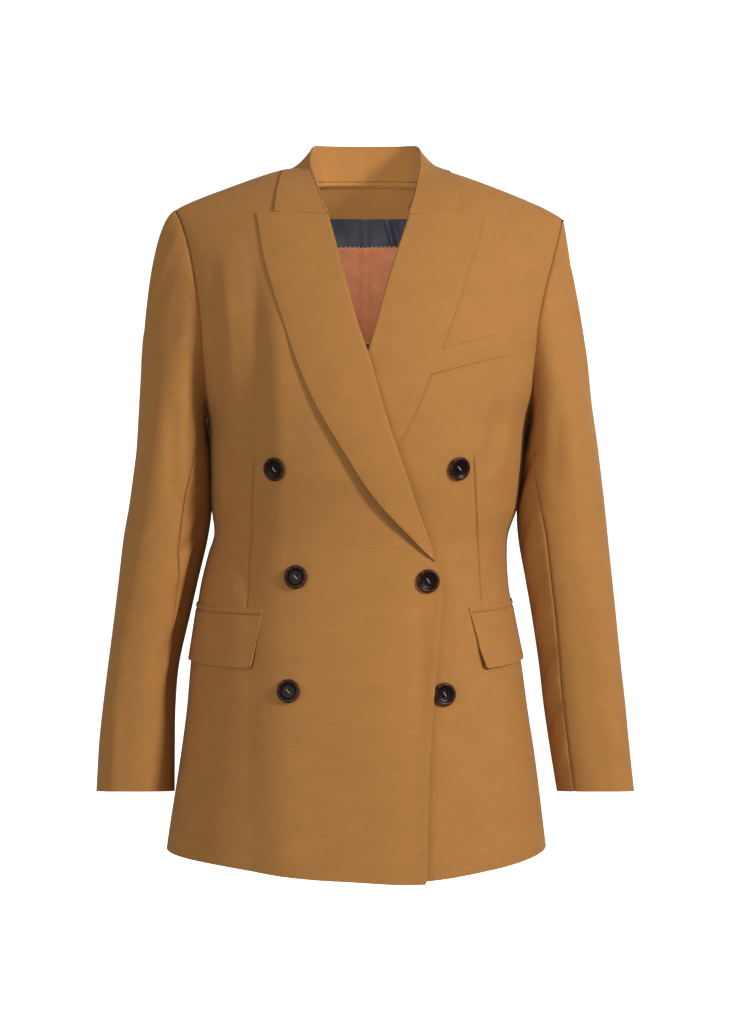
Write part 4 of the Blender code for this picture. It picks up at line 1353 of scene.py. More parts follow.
# Half of the collar, from the back's middle to the gorge: its fold, the leaf's outer edge, the neck
# seam, the way the fold faces in degrees round from the back, the leaf's swell and how it rests
COLLAR = Table(
    ("share", "fold_x", "fold_y", "fold_z", "edge_x", "edge_y", "edge_z", "seam_x", "seam_y", "seam_z",
     "facing", "swell", "rest"),
    (
        (0.00, 0, 62, 29.4, 0, 80, -19, 0, 52.0, -12.6, 0, 3.5, 3.0),
        (0.22, 34, 57, 29.3, 42, 77, -18, 28, 47.0, -12.8, 20, 3.2, 3.0),
        (0.33, 49.5, 44, 29.0, 58, 67, -13, 42, 40, -13.6, 42, 1.5, 2.6),
        (0.38, 54.2, 36, 28.0, 66, 61, -9.5, 45.5, 35, -14.2, 54, 1.4, 1.9),
        (0.50, 57.2, 17, 21.6, 79, 42, -3, 50.0, 20, -14.8, 78, 1.1, 1.2),
        (0.64, 57.2, -6, 7, 84, 15, 1, 51.0, 5, -15.6, 104, 0.5, 1.1),
        (0.78, 51.8, -28, -10, 87, -14, -5, 49.0, -13, -19, 134, 1.0, 1.7),
        (0.90, 45.5, -51, -29, 91, -44, -24, 44.5, -33, -29, 156, 1.4, 2.1),
        (1.00, 39.0, -69.5, -46.5, 93, -62, -46.5, 38.5, -50, -42, 166, 1.2, 2.5),
    ),
)
COLLAR_ROUND = 1.7
COLLAR_WALL = 1.6
COLLAR_SOFT_EDGE = 0.3
COLLAR_SPAN = {"round": 330, "leaf": 60, "stand": 40, "step": 0.9, "stand_step": 0.8}
STAND_HOLLOW = 1.2
# The left end of the collar reaches further out than the right one, from a share round on
LEFT_REACH = 5.5
LEFT_START = 0.55
# Pick stitches: each one's length, the gap between two, how far it stands up, and its thread's radius
STITCH_LENGTH = 2.5
STITCH_GAP = 1.8
STITCH_RISE = 0.3
STITCH_RADIUS = 0.46
# A stitch's path: the share along it, and the share of its rise, or below 0 the depth of its holes
STITCH_PATH = ((0, -0.5), (0.14, 0.7), (0.5, 1), (0.86, 0.7), (1, -0.5))
STAND_STITCH_BELOW = 4.2


def collar_place(name, share):
    x, y, z = (COLLAR.at(f"{name}_{axis}", np.abs(share)) for axis in "xyz")
    x = x + LEFT_REACH * smooth(LEFT_START, 1.0, share)
    return np.stack([np.sign(share) * x, y, z], -1)


def collar_facing(share):
    turn = np.radians(COLLAR.at("facing", np.abs(share)))
    return np.stack([np.sign(share) * np.sin(turn), np.cos(turn), 0 * turn], -1)


def leaf_edge(share):
    """The leaf's outer edge, resting on the body."""
    edge = collar_place("edge", share)
    x = np.where(np.abs(edge[..., 0]) > CLEAR_OF_MIDDLE, edge[..., 0], CLEAR_OF_MIDDLE)
    height = np.minimum(edge[..., 2], shoulder_height(x))
    return on_body(x, height, COLLAR.at("rest", np.abs(share)), edge[..., 1] > SEAM_DEPTH)


def collar_points(step):
    """The collar's grid: from the leaf's edge over the fold and down the stand to the neck seam."""
    share = (1 - 2 * spread(COLLAR_SPAN["round"], step, (0, COLLAR_SPAN["round"])))[None, :]
    fold = collar_place("fold", share)
    facing = collar_facing(share)
    up = np.array((0.0, 0.0, 1.0))
    arcs = np.radians(np.linspace(0, 180, FOLD_STEPS))[:, None, None]
    over = fold - up * COLLAR_ROUND
    over = over + facing * (COLLAR_ROUND * np.cos(arcs)) + up * (COLLAR_ROUND * np.sin(arcs))
    down = spread(COLLAR_SPAN["leaf"], step, (0,))[:-1, None, None]
    swell = facing * COLLAR.at("swell", np.abs(share))[..., None] * np.sin(down * math.pi)
    leaf = between(leaf_edge(share), over[:1], down) + swell
    stand_span = COLLAR_SPAN["stand"]
    part = spread(stand_span, step * COLLAR_SPAN["stand_step"], (stand_span,))[1:, None, None]
    hollow = facing * STAND_HOLLOW * np.sin(part * math.pi)
    stand = between(over[-1:], collar_place("seam", share), part) + hollow
    return np.concatenate([leaf, over, stand])


def pick_stitches(points, from_top):
    """Short stitches along a grid at a distance below its top edge, each from one hole to the next."""
    below = edge_distances(points)["high"]
    normals = grid_normals(points)
    row = np.empty((points.shape[1], 3))
    facing = np.empty((points.shape[1], 3))
    for column in range(points.shape[1]):
        for axis in range(3):
            reach = below[::-1, column]
            row[column, axis] = np.interp(from_top, reach, points[::-1, column, axis])
            facing[column, axis] = np.interp(from_top, reach, normals[::-1, column, axis])
    run = np.concatenate([[0], np.cumsum(np.linalg.norm(np.diff(row, axis=0), axis=-1))])
    paths = []
    for start in np.arange(STITCH_GAP, run[-1] - STITCH_LENGTH, STITCH_LENGTH + STITCH_GAP):
        path = []
        for share, rise in STITCH_PATH:
            at = start + STITCH_LENGTH * share
            place = np.array([np.interp(at, run, row[:, axis]) for axis in range(3)])
            out = np.array([np.interp(at, run, facing[:, axis]) for axis in range(3)])
            path.append(place + out * (rise if rise < 0 else STITCH_RISE * rise))
        paths.append(path)
    return paths


def add_collar():
    collar = collar_points(grid_step(COLLAR_SPAN["step"]))
    piece = add_sheet("cloth_collar", collar, lengths_cut(collar), wool_finishes(), "collar_leaf",
                      COLLAR_WALL, soft_edge=COLLAR_SOFT_EDGE)
    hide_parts("collar_stand")
    declare(collar)
    # The stitches' dark colour is partly painted shade, for the small shadows along them.
    add_thread("stand_pick_stitch", pick_stitches(collar, STAND_STITCH_BELOW), STITCH_RADIUS,
               finish_of("camel thread"))


# ---------------------------------------------------------------- inside the back neck

# How far in from the back's outer side the facing, the lining and the label lie
INSIDE_DEPTH = 3.2
LINING_DEPTH = INSIDE_DEPTH - 0.5
LABEL_DEPTH = 4.4
# Where the facing starts below the neck seam, before it is laid on the back's inner side: it is
# higher over the seam, by a share of how far in that lies, and bows down towards its ends
FACING_TOP = -9.1
FACING_RISE = 0.66
FACING_BOW = 1.4
FACING_BOW_AT = 50
FACING_END = -45.0
LINING_TOP = FACING_END + 1.0
LINING_END = -205.0
LABEL_TOP = -75.0
LABEL_END = -180.0
# Half of each one's width at its lower and upper end
FACING_HALF = (72, 54)
LINING_HALF = (102, 73)
LABEL_HALF = (54, 54)
FACING_WALL = 1.1
LINING_WALL = 0.8
LABEL_WALL = 0.7
LABEL_STEP = 0.8
# The height of an inner panel's grid past the facing's end
INSIDE_SPAN = 60
# How far the centre back seam's allowance stands in, and its reach to either side
SEAM_STANDS = 1.6
SEAM_HALF = 6
FACING_STITCH_BELOW = 5.0
# The label's zigzag: its line's distance from the middle, each step, its throw to either side,
# how far it stands out, and the thread's radius
ZIGZAG_HALF = 53
ZIGZAG_STEP = 2.4
ZIGZAG_THROW = 1.5
ZIGZAG_RISE = 0.45
ZIGZAG_RADIUS = 0.42
LINING_FOLDS = Folds(
    (22, -44, 31, -80, 1.6, 2.6, 1),
    (28, -44, 38, -84, -1.2, 3.4, 1),
    (-30, -50, -20, -90, -0.8, 7, 2),
    (-60, -60, -52, -190, 1.2, 9, 3),
    (62, -70, 58, -195, 1.1, 9, -3),
)


def clear_of_seam(x):
    """How much further in a layer lies where it passes over the centre back seam."""
    return SEAM_STANDS * hill(0, SEAM_HALF, x)


def inside_points(halves, low, high, depth, step, folds=None):
    """A panel that lies on the inner side of the back and faces the neck."""
    width = 2 * max(halves)
    across = spread(width, step, (0, width))[None, :]
    rows = spread(abs(low) - abs(FACING_END) + INSIDE_SPAN, step, (0,))[:, None]
    half = between(*halves, rows)
    x = half * (2 * across - 1)
    height = between(low, high(np.abs(x)), rows)
    out = -depth - clear_of_seam(x)
    if folds:
        out = out - folds.rise(x, height)
    return on_body(x, height, out, True)


def below_neck_seam(away):
    return FACING_TOP + FACING_RISE * clear_of_seam(away) - FACING_BOW * (away / FACING_BOW_AT) ** 2


def add_inner_sheet(name, points, finish, node, wall):
    """A sheet that lies inside the back, with the same finish on both sides."""
    both = (finish_of(finish), finish_of(finish))
    piece = add_sheet(name, points, lengths_cut(points), both, node, wall)
    declare(points)


def add_inside():
    step = grid_step()
    facing = inside_points(FACING_HALF, FACING_END, below_neck_seam, INSIDE_DEPTH, step)
    add_inner_sheet("cloth_neck_facing", facing, "camel wool inside", "neck_facing",
                    FACING_WALL)
    lining = inside_points(LINING_HALF, LINING_END, lambda away: LINING_TOP + 0 * away,
                           LINING_DEPTH, step, LINING_FOLDS)
    add_inner_sheet("satin_back_lining", lining, "navy lining", "back_lining",
                    LINING_WALL)
    label = inside_points(LABEL_HALF, LABEL_END, lambda away: LABEL_TOP + 0 * away, LABEL_DEPTH,
                          step * LABEL_STEP)
    add_inner_sheet("satin_label", label, "copper label", "label", LABEL_WALL)
    # The stitches' dark colour is partly painted shade, for the small shadows along them.
    add_thread("facing_pick_stitch", pick_stitches(facing, FACING_STITCH_BELOW), STITCH_RADIUS,
               finish_of("camel thread"))
    add_thread("label_stitch", label_zigzag(), ZIGZAG_RADIUS, finish_of("label thread"))


def label_zigzag():
    """The zigzag row that holds the label, all round just inside its edge."""
    left, right = -ZIGZAG_HALF, ZIGZAG_HALF
    paths = []
    for low, high in (
        ((left, LABEL_TOP), (right, LABEL_TOP)),
        ((left, LABEL_END), (right, LABEL_END)),
        ((left, LABEL_END), (left, LABEL_TOP)),
        ((right, LABEL_END), (right, LABEL_TOP)),
    ):
        run = math.hypot(high[0] - low[0], high[1] - low[1])
        count = int(run / ZIGZAG_STEP)
        path = []
        for step in range(count + 1):
            x = between(low[0], high[0], step / count)
            height = between(low[1], high[1], step / count)
            shift = ZIGZAG_THROW * (1 if step % 2 else -1)
            if low[1] == high[1]:
                height += shift
            else:
                x += shift
            out = -LABEL_DEPTH - ZIGZAG_RISE - clear_of_seam(x)
            path.append(on_body(np.array(x), np.array(height), out, True))
        paths.append(path)
    return paths


# ---------------------------------------------------------------- pockets

JET_WIDTH = 5.5
POCKET_END_ANGLE = 97.0
FLAP_ROUND = 4.5
POCKET_ARC = 128.0
TRIM_WALL = 1.5
TRIM_STEP = 0.9
# A jet stands off the cloth, with a raised middle across its width, and starts above the flap
JET_STANDS = 0.8
JET_RAISED = 0.8
JET_ROWS = 9
JET_GAP = 0.3
# A flap's length, how far it stands off, how far its lower edge and its inner edge lift, over what
# share of its width, and how much it bows
FLAP_LENGTH = 54
FLAP_STANDS = 1.5
FLAP_LIFT = 1.6
FLAP_LIFT_RATE = 2.2
FLAP_INNER_REACH = 0.16
FLAP_BOW = 0.2
# Its slight waves: how high, their rate along it, and where they start
FLAP_WAVE = (0.3, 9, 0.8)
FLAP_SOFT_EDGE = 0.6
POCKET = {
    RIGHT: {"inner": 104.0, "mouth": (-456.5, -457.5), "flap_end": (-511.0, -511.0), "flap_inner": 114.6},
    LEFT: {"inner": 105.5, "mouth": (-455.5, -453.5), "flap_end": (-512.8, -509.0), "flap_inner": 120.5},
}
WELT_INNER = {"low": -213.0, "high": -186.0, "gap": -3.0}
WELT_OUTER = {"low": (151.0, -190.0), "high": (148.0, -167.0)}
WELT_SPAN = {"across": 80, "up": 25, "step": 0.8}
# How far the welt stands off, how much it bows, and how much further its lower edge stands
WELT_STANDS = (1.5, 0.5, 0.3)
WELT_WALL = 1.2


def strip_points(side, across, rows, start, low, high, out):
    """A strip on a front from its inner edge, given by share up, round to the pocket's outer end."""
    height = between(low(across), high(across), rows)
    first = np.abs(angle_at(side * start(rows), height))
    angle = side * between(first, math.radians(POCKET_END_ANGLE), across)
    base = ring_point(angle, height)
    rise = lap_rise(side, base[..., 0], height) + body_folds(base, angle)
    return as_worn(side, on_ring(angle, height, out(across, rows) + rise))[0]


def add_pocket(side, word):
    sizes = POCKET[side]
    across, flap_rows = across_and_up(POCKET_ARC, FLAP_LENGTH, grid_step(TRIM_STEP))

    def mouth(s):
        return between(*sizes["mouth"], s)

    def jet_low(s):
        return mouth(s) + JET_GAP

    def jet_out(s, t):
        return JET_STANDS + JET_RAISED * np.maximum(1 - (2 * t - 1) ** 4, 0) + 0 * s

    jet_rows = np.linspace(0, 1, JET_ROWS)[:, None]
    jet = strip_points(side, across, jet_rows, lambda t: sizes["inner"] + 0 * t, jet_low,
                       lambda s: jet_low(s) + JET_WIDTH, jet_out)
    jet_piece = add_sheet(f"cloth_jet_{word}", jet, lengths_cut(jet), wool_finishes(),
                          f"jet_{word}", TRIM_WALL)

    def flap_low(s):
        cut = np.maximum(FLAP_ROUND - np.minimum(s, 1 - s) * POCKET_ARC, 0.0)
        corner = FLAP_ROUND - np.sqrt(FLAP_ROUND**2 - cut**2)
        return between(*sizes["flap_end"], s) + corner

    def flap_out(s, t):
        lift = FLAP_LIFT * (1 - t) ** FLAP_LIFT_RATE
        lift = lift + FLAP_LIFT * hill(0, FLAP_INNER_REACH, s) * (1 - t) ** 2
        high, rate, start = FLAP_WAVE
        waves = high * np.sin(s * rate + start) * (1 - t)
        return FLAP_STANDS + lift + waves + FLAP_BOW * np.sin(t * math.pi)

    def flap_inner(t):
        return between(sizes["flap_inner"], sizes["inner"] + 1, t)

    flap = strip_points(side, across, flap_rows, flap_inner, flap_low, mouth, flap_out)
    flap = sewn(flap, ("high",))
    piece = add_sheet(f"cloth_flap_{word}", flap, lengths_cut(flap), wool_finishes(),
                      f"flap_{word}", TRIM_WALL, soft_edge=FLAP_SOFT_EDGE)
    declare(flap)


def add_welt():
    step = grid_step(WELT_SPAN["step"])
    across, rows = across_and_up(WELT_SPAN["across"], WELT_SPAN["up"], step)
    low, high = WELT_INNER["low"], WELT_INNER["high"]
    start_height = between(low, high, rows)
    start_x = LAPEL[LEFT].at("edge", start_height) + WELT_INNER["gap"]
    end_x, end_height = (between(a, b, rows) for a, b in zip(WELT_OUTER["low"], WELT_OUTER["high"]))
    x = between(start_x, end_x, across)
    height = between(start_height, end_height, across)
    angle = angle_at(x, height)
    base = ring_point(angle, height)
    off, bow, low_off = WELT_STANDS
    out = off + bow * np.sin(rows * math.pi) + low_off * (1 - rows)
    points = on_ring(angle, height, out + body_folds(base, angle))
    points = sewn(points, ("right", "high"))
    piece = add_sheet("cloth_breast_welt", points, lengths_cut(points), wool_finishes(),
                      "breast_welt", WELT_WALL)
    declare(points)


# ---------------------------------------------------------------- buttons

BUTTON_LIFT = 0.9
# A button's half section from the top's middle outwards and down: from its axis, above its back
BUTTON_SECTION = (
    (0.0, 1.9),
    (4.6, 1.9),
    (6.6, 2.0),
    (7.6, 2.25),
    (8.3, 2.75),
    (9.0, 3.05),
    (10.0, 3.2),
    (10.9, 3.1),
    (11.6, 2.7),
    (12.0, 2.0),
    (11.9, 1.2),
    (11.2, 0.5),
    (9.5, 0.1),
    (0.0, 0.0),
)
BUTTON_WIDEST = max(away for away, up in BUTTON_SECTION)
BUTTON_ROUND = 64
BUTTON_EDGE = {"width": 0.18, "angle": 40}
# Four holes round the middle: each one's distance from the two lines between them, and its cutter
HOLE_AWAY = 2.05
HOLE_RADIUS = 0.95
HOLE_ROUND = 20
HOLE_DEPTH = 8
# Each button's front, its distance from the middle towards the wearer's left, its height, and
# how far its thread is turned
BUTTONS = (
    (RIGHT, -88.8, -307, 128),
    (LEFT, 93.8, -307, 131),
    (RIGHT, -68.6, -417, 134),
    (RIGHT, 61.2, -421, 122),
    (RIGHT, -76.0, -532, 137),
    (LEFT, 79.4, -536, 118),
)
# Two lengths of thread pass from hole to hole, side by side: the share of the way from the middle
# to a hole, and the height there
THREAD_PATH = ((-1.0, 1.0), (-0.9, 2.1), (-0.4, 2.6), (0.4, 2.6), (0.9, 2.1), (1.0, 1.0))
THREAD_SHIFTS = (-0.22, 0.22)
THREAD_RADIUS = 0.3


def button_mesh(radius):
    """A turned button with four holes through it."""
    shape = bmesh.new()
    scale = radius / BUTTON_WIDEST
    last = None
    ends = []
    for away, up in BUTTON_SECTION:
        vertex = shape.verts.new((away * scale * MM, 0, up * scale * MM))
        if last:
            ends.append(shape.edges.new((last, vertex)))
        last = vertex
    parts = ends + list(shape.verts)
    bmesh.ops.spin(shape, geom=parts, axis=(0, 0, 1), cent=(0, 0, 0), angle=2 * math.pi,
                   steps=BUTTON_ROUND, use_merge=True)
    bmesh.ops.remove_doubles(shape, verts=shape.verts, dist=1e-6)
    bmesh.ops.recalc_face_normals(shape, faces=shape.faces)
    return new_mesh("button", shape)


def hole_cutter():
    """Four pegs, where the holes go."""
    shape = bmesh.new()
    for corner in range(4):
        turn = math.radians(45 + 90 * corner)
        made = bmesh.ops.create_cone(shape, cap_ends=True, segments=HOLE_ROUND, depth=HOLE_DEPTH * MM,
                                     radius1=HOLE_RADIUS * MM, radius2=HOLE_RADIUS * MM)
        away = Vector((math.cos(turn), math.sin(turn), 0)) * HOLE_AWAY * math.sqrt(2) * MM
        bmesh.ops.translate(shape, verts=made["verts"], vec=away)
    return new_mesh("button holes", shape)


def add_button(number, side, x, height, spin):
    name = f"horn_button_{number}"
    piece = new_object(name, button_mesh(settings().trim.button_radius / MM))
    cutter = new_object("button_hole_cutter", hole_cutter())
    cut = piece.modifiers.new("holes", "BOOLEAN")
    cut.object = cutter
    cut.solver = "EXACT"
    graph = bpy.context.evaluated_depsgraph_get()
    done = bpy.data.meshes.new_from_object(piece.evaluated_get(graph))
    piece.modifiers.clear()
    piece.data = done
    bpy.data.objects.remove(cutter)
    done.materials.clear()
    done.materials.append(finish_of("dark horn"))
    done.shade_smooth()
    edge = piece.modifiers.new("turned edge", "BEVEL")
    edge.width = BUTTON_EDGE["width"] * MM
    edge.segments = 2
    edge.angle_limit = math.radians(BUTTON_EDGE["angle"])
    edge.harden_normals = True
    angle = angle_at(x, height)
    base = ring_point(angle, np.array(float(height)))
    rise = float(lap_rise(side, x, height) + body_folds(base, angle)) + BUTTON_LIFT
    spot = on_body(np.array(float(x)), np.array(float(height)), rise)
    facing = Vector(ring_normal(angle, height)).to_track_quat("Z", "Y")
    piece.rotation_mode = "QUATERNION"
    piece.location = Vector(spot) * MM
    piece.rotation_quaternion = facing
    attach(piece, "root")
    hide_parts(f"button_{number}")
    across = math.radians(spin)
    paths = []
    for shift in THREAD_SHIFTS:
        path = []
        for reach, lift in THREAD_PATH:
            along = reach * HOLE_AWAY * math.sqrt(2)
            local = Vector((math.cos(across) * along - math.sin(across) * shift,
                            math.sin(across) * along + math.cos(across) * shift, lift))
            path.append(Vector(spot) + facing @ local)
        paths.append(path)
    add_thread(f"button_thread_{number}", paths, THREAD_RADIUS, finish_of("button thread"))


# ---------------------------------------------------------------- the stage

# The room, in metres: the floor's height, the round sweep up into the wall, the wall's distance
# and height, and the ceiling's
FLOOR = -1.25
SWEEP = 3.0
SWEEP_STEPS = 12
WALL_AWAY = 12.0
WALL_TOP = 9.0
CEILING = 12.0
ROOM_ROUND = 72
WARM_LIGHT = (1.0, 0.985, 0.96)
COOL_LIGHT = (0.97, 0.985, 1.0)
MIDDLE = (0, 0, -0.36)
# Each light: its place, what it points at, its width and height, its colour, and its power's name
LIGHTS = (
    ("main light", (2.5, -2.15, 0.85), MIDDLE, (0.45, 0.9), WARM_LIGHT, "key_power"),
    ("fill light", (-2.0, -2.8, 0.1), MIDDLE, (1.8, 2.0), COOL_LIGHT, "fill_power"),
    ("back light", (1.4, 2.7, 0.9), MIDDLE, (2.0, 2.0), COOL_LIGHT, "back_power"),
    ("neck light", (0, -0.045, -0.10), (0, 0.10, -0.09), (0.09, 0.12), WARM_LIGHT, "neck_power"),
)
# The camera: its film's height and lens in millimetres, its own height in metres, and how far it
# looks down in degrees
FILM_HEIGHT = 36
LENS = 100.44140625
EYE_HEIGHT = -0.20
EYE_DOWN = 3


def add_light(name, place, target, size, colour, power):
    lamp = bpy.data.lights.new(name, "AREA")
    lamp.shape = "RECTANGLE"
    lamp.size, lamp.size_y = size
    lamp.energy = power
    lamp.color = colour
    light = new_object(name, lamp)
    light.location = place
    light.rotation_mode = "QUATERNION"
    light.rotation_quaternion = (Vector(target) - Vector(place)).to_track_quat("-Z", "Y")
    return light


def add_room():
    """A pale floor that sweeps up into a round pale room, far from the blazer on every side."""
    profile = [(0.0, FLOOR), (WALL_AWAY - SWEEP, FLOOR)]
    for step in range(1, SWEEP_STEPS + 1):
        turn = math.radians(90 * step / SWEEP_STEPS)
        away = WALL_AWAY - SWEEP * (1 - math.sin(turn))
        profile.append((away, FLOOR + SWEEP * (1 - math.cos(turn))))
    profile.append((WALL_AWAY, WALL_TOP))
    profile.append((0.0, CEILING))
    shape = bmesh.new()
    last = None
    parts = []
    for away, z in profile:
        vertex = shape.verts.new((away, 0, z))
        parts.append(vertex)
        if last:
            parts.append(shape.edges.new((last, vertex)))
        last = vertex
    bmesh.ops.spin(shape, geom=parts, axis=(0, 0, 1), cent=(0, 0, 0), angle=2 * math.pi,
                   steps=ROOM_ROUND)
    bmesh.ops.remove_doubles(shape, verts=shape.verts, dist=1e-5)
    mesh = new_mesh("pale_room", shape)
    mesh.shade_smooth()
    n = Nodes("pale paper")
    place = n.add("ShaderNodeTexCoord").outputs["Object"]
    tooth = n.noise(place, scale=60.0)
    pale = settings().stage.floor_colour
    paper = n.mix(tooth, tinted(pale, 0.99), tinted(pale, 1.0))
    n.finish(Base_Color=paper, Roughness=0.9, Specular_IOR_Level=0.1, Emission_Color=paper,
             Emission_Strength=settings().stage.floor_glow)
    mesh.materials.append(n.material)
    piece = new_object("pale_room", mesh)
    piece.visible_diffuse = False
    piece.visible_glossy = False
    piece.visible_shadow = False


# ---------------------------------------------------------------- sizes and colours a user can change


class BlazerCloth(bpy.types.PropertyGroup):
    wool_colour: bpy.props.FloatVectorProperty(
        name="Wool", description="Colour of the blazer's cloth", subtype="COLOR", size=3,
        min=0, max=1, default=(0.425, 0.192, 0.052))
    wall: bpy.props.FloatProperty(
        name="Cloth thickness", description="Wool, canvas and lining together", unit="LENGTH",
        min=0.001, max=0.003, default=0.0016)
    step: bpy.props.FloatProperty(
        name="Grid step", description="Distance between the grid lines of a sewn piece", unit="LENGTH",
        min=0.0015, max=0.02, default=0.0028)
    fold_depth: bpy.props.FloatProperty(
        name="Crease depth", description="How strongly the creases stand out", subtype="FACTOR",
        min=0, max=2, default=1.0)


class BlazerTrim(bpy.types.PropertyGroup):
    lining_colour: bpy.props.FloatVectorProperty(
        name="Lining", description="Colour of the lining", subtype="COLOR", size=3,
        min=0, max=1, default=(0.032, 0.035, 0.052))
    label_colour: bpy.props.FloatVectorProperty(
        name="Label", description="Colour of the plain label", subtype="COLOR", size=3,
        min=0, max=1, default=(0.60, 0.185, 0.06))
    label_thread_colour: bpy.props.FloatVectorProperty(
        name="Label thread", description="Thread round the label's edge", subtype="COLOR", size=3,
        min=0, max=1, default=(0.80, 0.50, 0.34))
    # The pick stitch thread's dark colour is partly the thread and partly painted shade, for the small
    # shadows along the stitches.
    thread_colour: bpy.props.FloatVectorProperty(
        name="Pick stitch thread and painted shade", description="Thread inside the neck", subtype="COLOR", size=3,
        min=0, max=1, default=(0.15, 0.055, 0.014))
    button_thread_colour: bpy.props.FloatVectorProperty(
        name="Button thread", description="Thread through the buttons", subtype="COLOR", size=3,
        min=0, max=1, default=(0.45, 0.30, 0.18))
    horn_colour: bpy.props.FloatVectorProperty(
        name="Horn", description="The buttons' dark colour", subtype="COLOR", size=4,
        min=0, max=1, default=(0.0035, 0.0025, 0.0025, 1))
    horn_warm_colour: bpy.props.FloatVectorProperty(
        name="Horn streaks", description="The buttons' warm streaks", subtype="COLOR", size=4,
        min=0, max=1, default=(0.13, 0.035, 0.014, 1))
    button_radius: bpy.props.FloatProperty(
        name="Button radius", description="Half a button's width", unit="LENGTH",
        min=0.006, max=0.02, default=0.012)


class BlazerStage(bpy.types.PropertyGroup):
    floor_colour: bpy.props.FloatVectorProperty(
        name="Floor", description="Colour of the floor and the room", subtype="COLOR", size=3,
        min=0, max=1, default=(0.93, 0.93, 0.93))
    floor_glow: bpy.props.FloatProperty(
        name="Floor glow", description="Light that the floor and the room give out themselves",
        min=0, max=5, default=1.1)
    key_power: bpy.props.FloatProperty(
        name="Main light", description="Power of the soft light from the wearer's left", unit="POWER",
        min=0, max=1000, default=93)
    fill_power: bpy.props.FloatProperty(
        name="Fill light", description="Power of the soft light from the wearer's right", unit="POWER",
        min=0, max=1000, default=29)
    back_power: bpy.props.FloatProperty(
        name="Back light", description="Power of the soft light behind the blazer", unit="POWER",
        min=0, max=1000, default=34)
    neck_power: bpy.props.FloatProperty(
        name="Neck light", description="Power of the light inside the neck", unit="POWER",
        min=0, max=10, default=0.14)
    sky: bpy.props.FloatProperty(
        name="Room light", description="Brightness of the room all round", min=0, max=5, default=0.30)
    camera_distance: bpy.props.FloatProperty(
        name="Camera distance", description="From the camera to the middle of the blazer", unit="LENGTH",
        min=0.5, max=20, default=3.0)


class BlazerSettings(bpy.types.PropertyGroup):
    cloth: bpy.props.PointerProperty(type=BlazerCloth, name="Cloth", description="The cloth's sizes")
    trim: bpy.props.PointerProperty(type=BlazerTrim, name="Trim", description="Lining, label and buttons")
    stage: bpy.props.PointerProperty(type=BlazerStage, name="Stage", description="Light and camera")


# ---------------------------------------------------------------- operators


class BLAZER_OT_fronts(bpy.types.Operator):
    """Make both fronts, with their waist darts"""

    bl_idname = "blazer.fronts"
    bl_label = "Fronts"

    def execute(self, context):
        for side, word in SIDES:
            add_front(side, word)
        return {"FINISHED"}


class BLAZER_OT_sides(bpy.types.Operator):
    """Make both side panels"""

    bl_idname = "blazer.sides"
    bl_label = "Side panels"

    def execute(self, context):
        for side, word in SIDES:
            add_panel(f"side_{word}", *side_grid(side, grid_step(SIDE_SPAN["step"])))
        return {"FINISHED"}


class BLAZER_OT_backs(bpy.types.Operator):
    """Make both back halves"""

    bl_idname = "blazer.backs"
    bl_label = "Back halves"

    def execute(self, context):
        for side, word in SIDES:
            add_panel(f"back_{word}", *back_grid(side, grid_step()))
        return {"FINISHED"}


class BLAZER_OT_sleeves(bpy.types.Operator):
    """Make the top and under sleeves"""

    bl_idname = "blazer.sleeves"
    bl_label = "Sleeves"

    def execute(self, context):
        for side, word in SIDES:
            add_sleeve(side, word, False)
            add_sleeve(side, word, True)
        return {"FINISHED"}


class BLAZER_OT_lapels(bpy.types.Operator):
    """Make both lapels"""

    bl_idname = "blazer.lapels"
    bl_label = "Lapels"

    def execute(self, context):
        for side, word in SIDES:
            add_lapel(side, word)
        return {"FINISHED"}


class BLAZER_OT_collar(bpy.types.Operator):
    """Make the collar's leaf and stand"""

    bl_idname = "blazer.collar"
    bl_label = "Collar"

    def execute(self, context):
        add_collar()
        return {"FINISHED"}


class BLAZER_OT_inside(bpy.types.Operator):
    """Make the neck facing, the lining and the label inside the back"""

    bl_idname = "blazer.inside"
    bl_label = "Inside of the neck"

    def execute(self, context):
        add_inside()
        return {"FINISHED"}


class BLAZER_OT_pockets(bpy.types.Operator):
    """Make the pocket jets and flaps and the breast welt"""

    bl_idname = "blazer.pockets"
    bl_label = "Pockets"

    def execute(self, context):
        for side, word in SIDES:
            add_pocket(side, word)
        add_welt()
        return {"FINISHED"}


class BLAZER_OT_buttons(bpy.types.Operator):
    """Make the six buttons and their thread"""

    bl_idname = "blazer.buttons"
    bl_label = "Buttons"

    def execute(self, context):
        for number, place in enumerate(BUTTONS, start=1):
            add_button(number, *place)
        return {"FINISHED"}


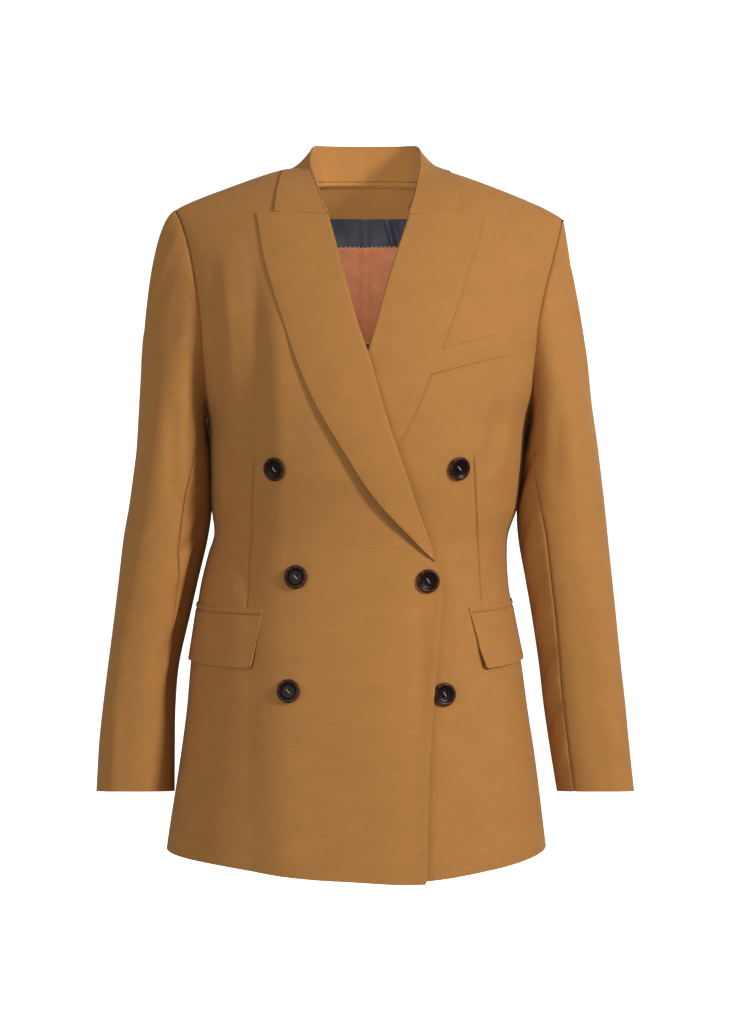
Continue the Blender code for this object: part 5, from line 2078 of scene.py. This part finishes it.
class BLAZER_OT_stage(bpy.types.Operator):
    """Make the floor, the lights and the camera"""

    bl_idname = "blazer.stage"
    bl_label = "Stage"

    def execute(self, context):
        stage = settings().stage
        add_room()
        for *light, power in LIGHTS:
            made = add_light(*light, getattr(stage, power))
        # The last one, inside the neck, would show itself to the camera
        made.visible_camera = False
        world = bpy.data.worlds.new("pale room")
        world.use_nodes = True
        room = world.node_tree.nodes["Background"]
        room.inputs["Color"].default_value = (1, 1, 1, 1)
        room.inputs["Strength"].default_value = stage.sky
        context.scene.world = world
        camera = bpy.data.cameras.new("camera")
        camera.sensor_fit = "VERTICAL"
        camera.sensor_height = FILM_HEIGHT
        camera.lens = LENS
        eye = new_object("camera", camera)
        eye.location = (0, -stage.camera_distance, EYE_HEIGHT)
        eye.rotation_euler = (math.radians(90 - EYE_DOWN), 0, 0)
        context.scene.camera = eye
        return {"FINISHED"}


class BLAZER_PT_panel(bpy.types.Panel):
    """The blazer's sizes and colours, and a button for each group of pieces"""

    bl_idname = "BLAZER_PT_panel"
    bl_label = "Double breasted blazer"
    bl_space_type = "VIEW_3D"
    bl_region_type = "UI"
    bl_category = "Blazer"

    def draw(self, context):
        for group in (settings().cloth, settings().trim, settings().stage):
            box = self.layout.box()
            for name in group.bl_rna.properties.keys():
                if name not in ("name", "rna_type"):
                    box.prop(group, name)
        for operator in OPERATORS:
            self.layout.operator(operator.bl_idname)


OPERATORS = (
    BLAZER_OT_fronts,
    BLAZER_OT_sides,
    BLAZER_OT_backs,
    BLAZER_OT_sleeves,
    BLAZER_OT_lapels,
    BLAZER_OT_collar,
    BLAZER_OT_inside,
    BLAZER_OT_pockets,
    BLAZER_OT_buttons,
    BLAZER_OT_stage,
)
CLASSES = (BlazerCloth, BlazerTrim, BlazerStage, BlazerSettings, *OPERATORS, BLAZER_PT_panel)


def register():
    for kind in CLASSES:
        bpy.utils.register_class(kind)
    bpy.types.Scene.blazer = bpy.props.PointerProperty(type=BlazerSettings)


def unregister():
    del bpy.types.Scene.blazer
    for kind in reversed(CLASSES):
        bpy.utils.unregister_class(kind)


def main():
    register()
    bpy.context.scene.view_settings.view_transform = "Standard"
    bpy.ops.blazer.fronts()
    bpy.ops.blazer.sides()
    bpy.ops.blazer.backs()
    bpy.ops.blazer.sleeves()
    bpy.ops.blazer.lapels()
    bpy.ops.blazer.collar()
    bpy.ops.blazer.inside()
    bpy.ops.blazer.pockets()
    bpy.ops.blazer.buttons()
    bpy.ops.blazer.stage()


if __name__ == "__main__":
    main()
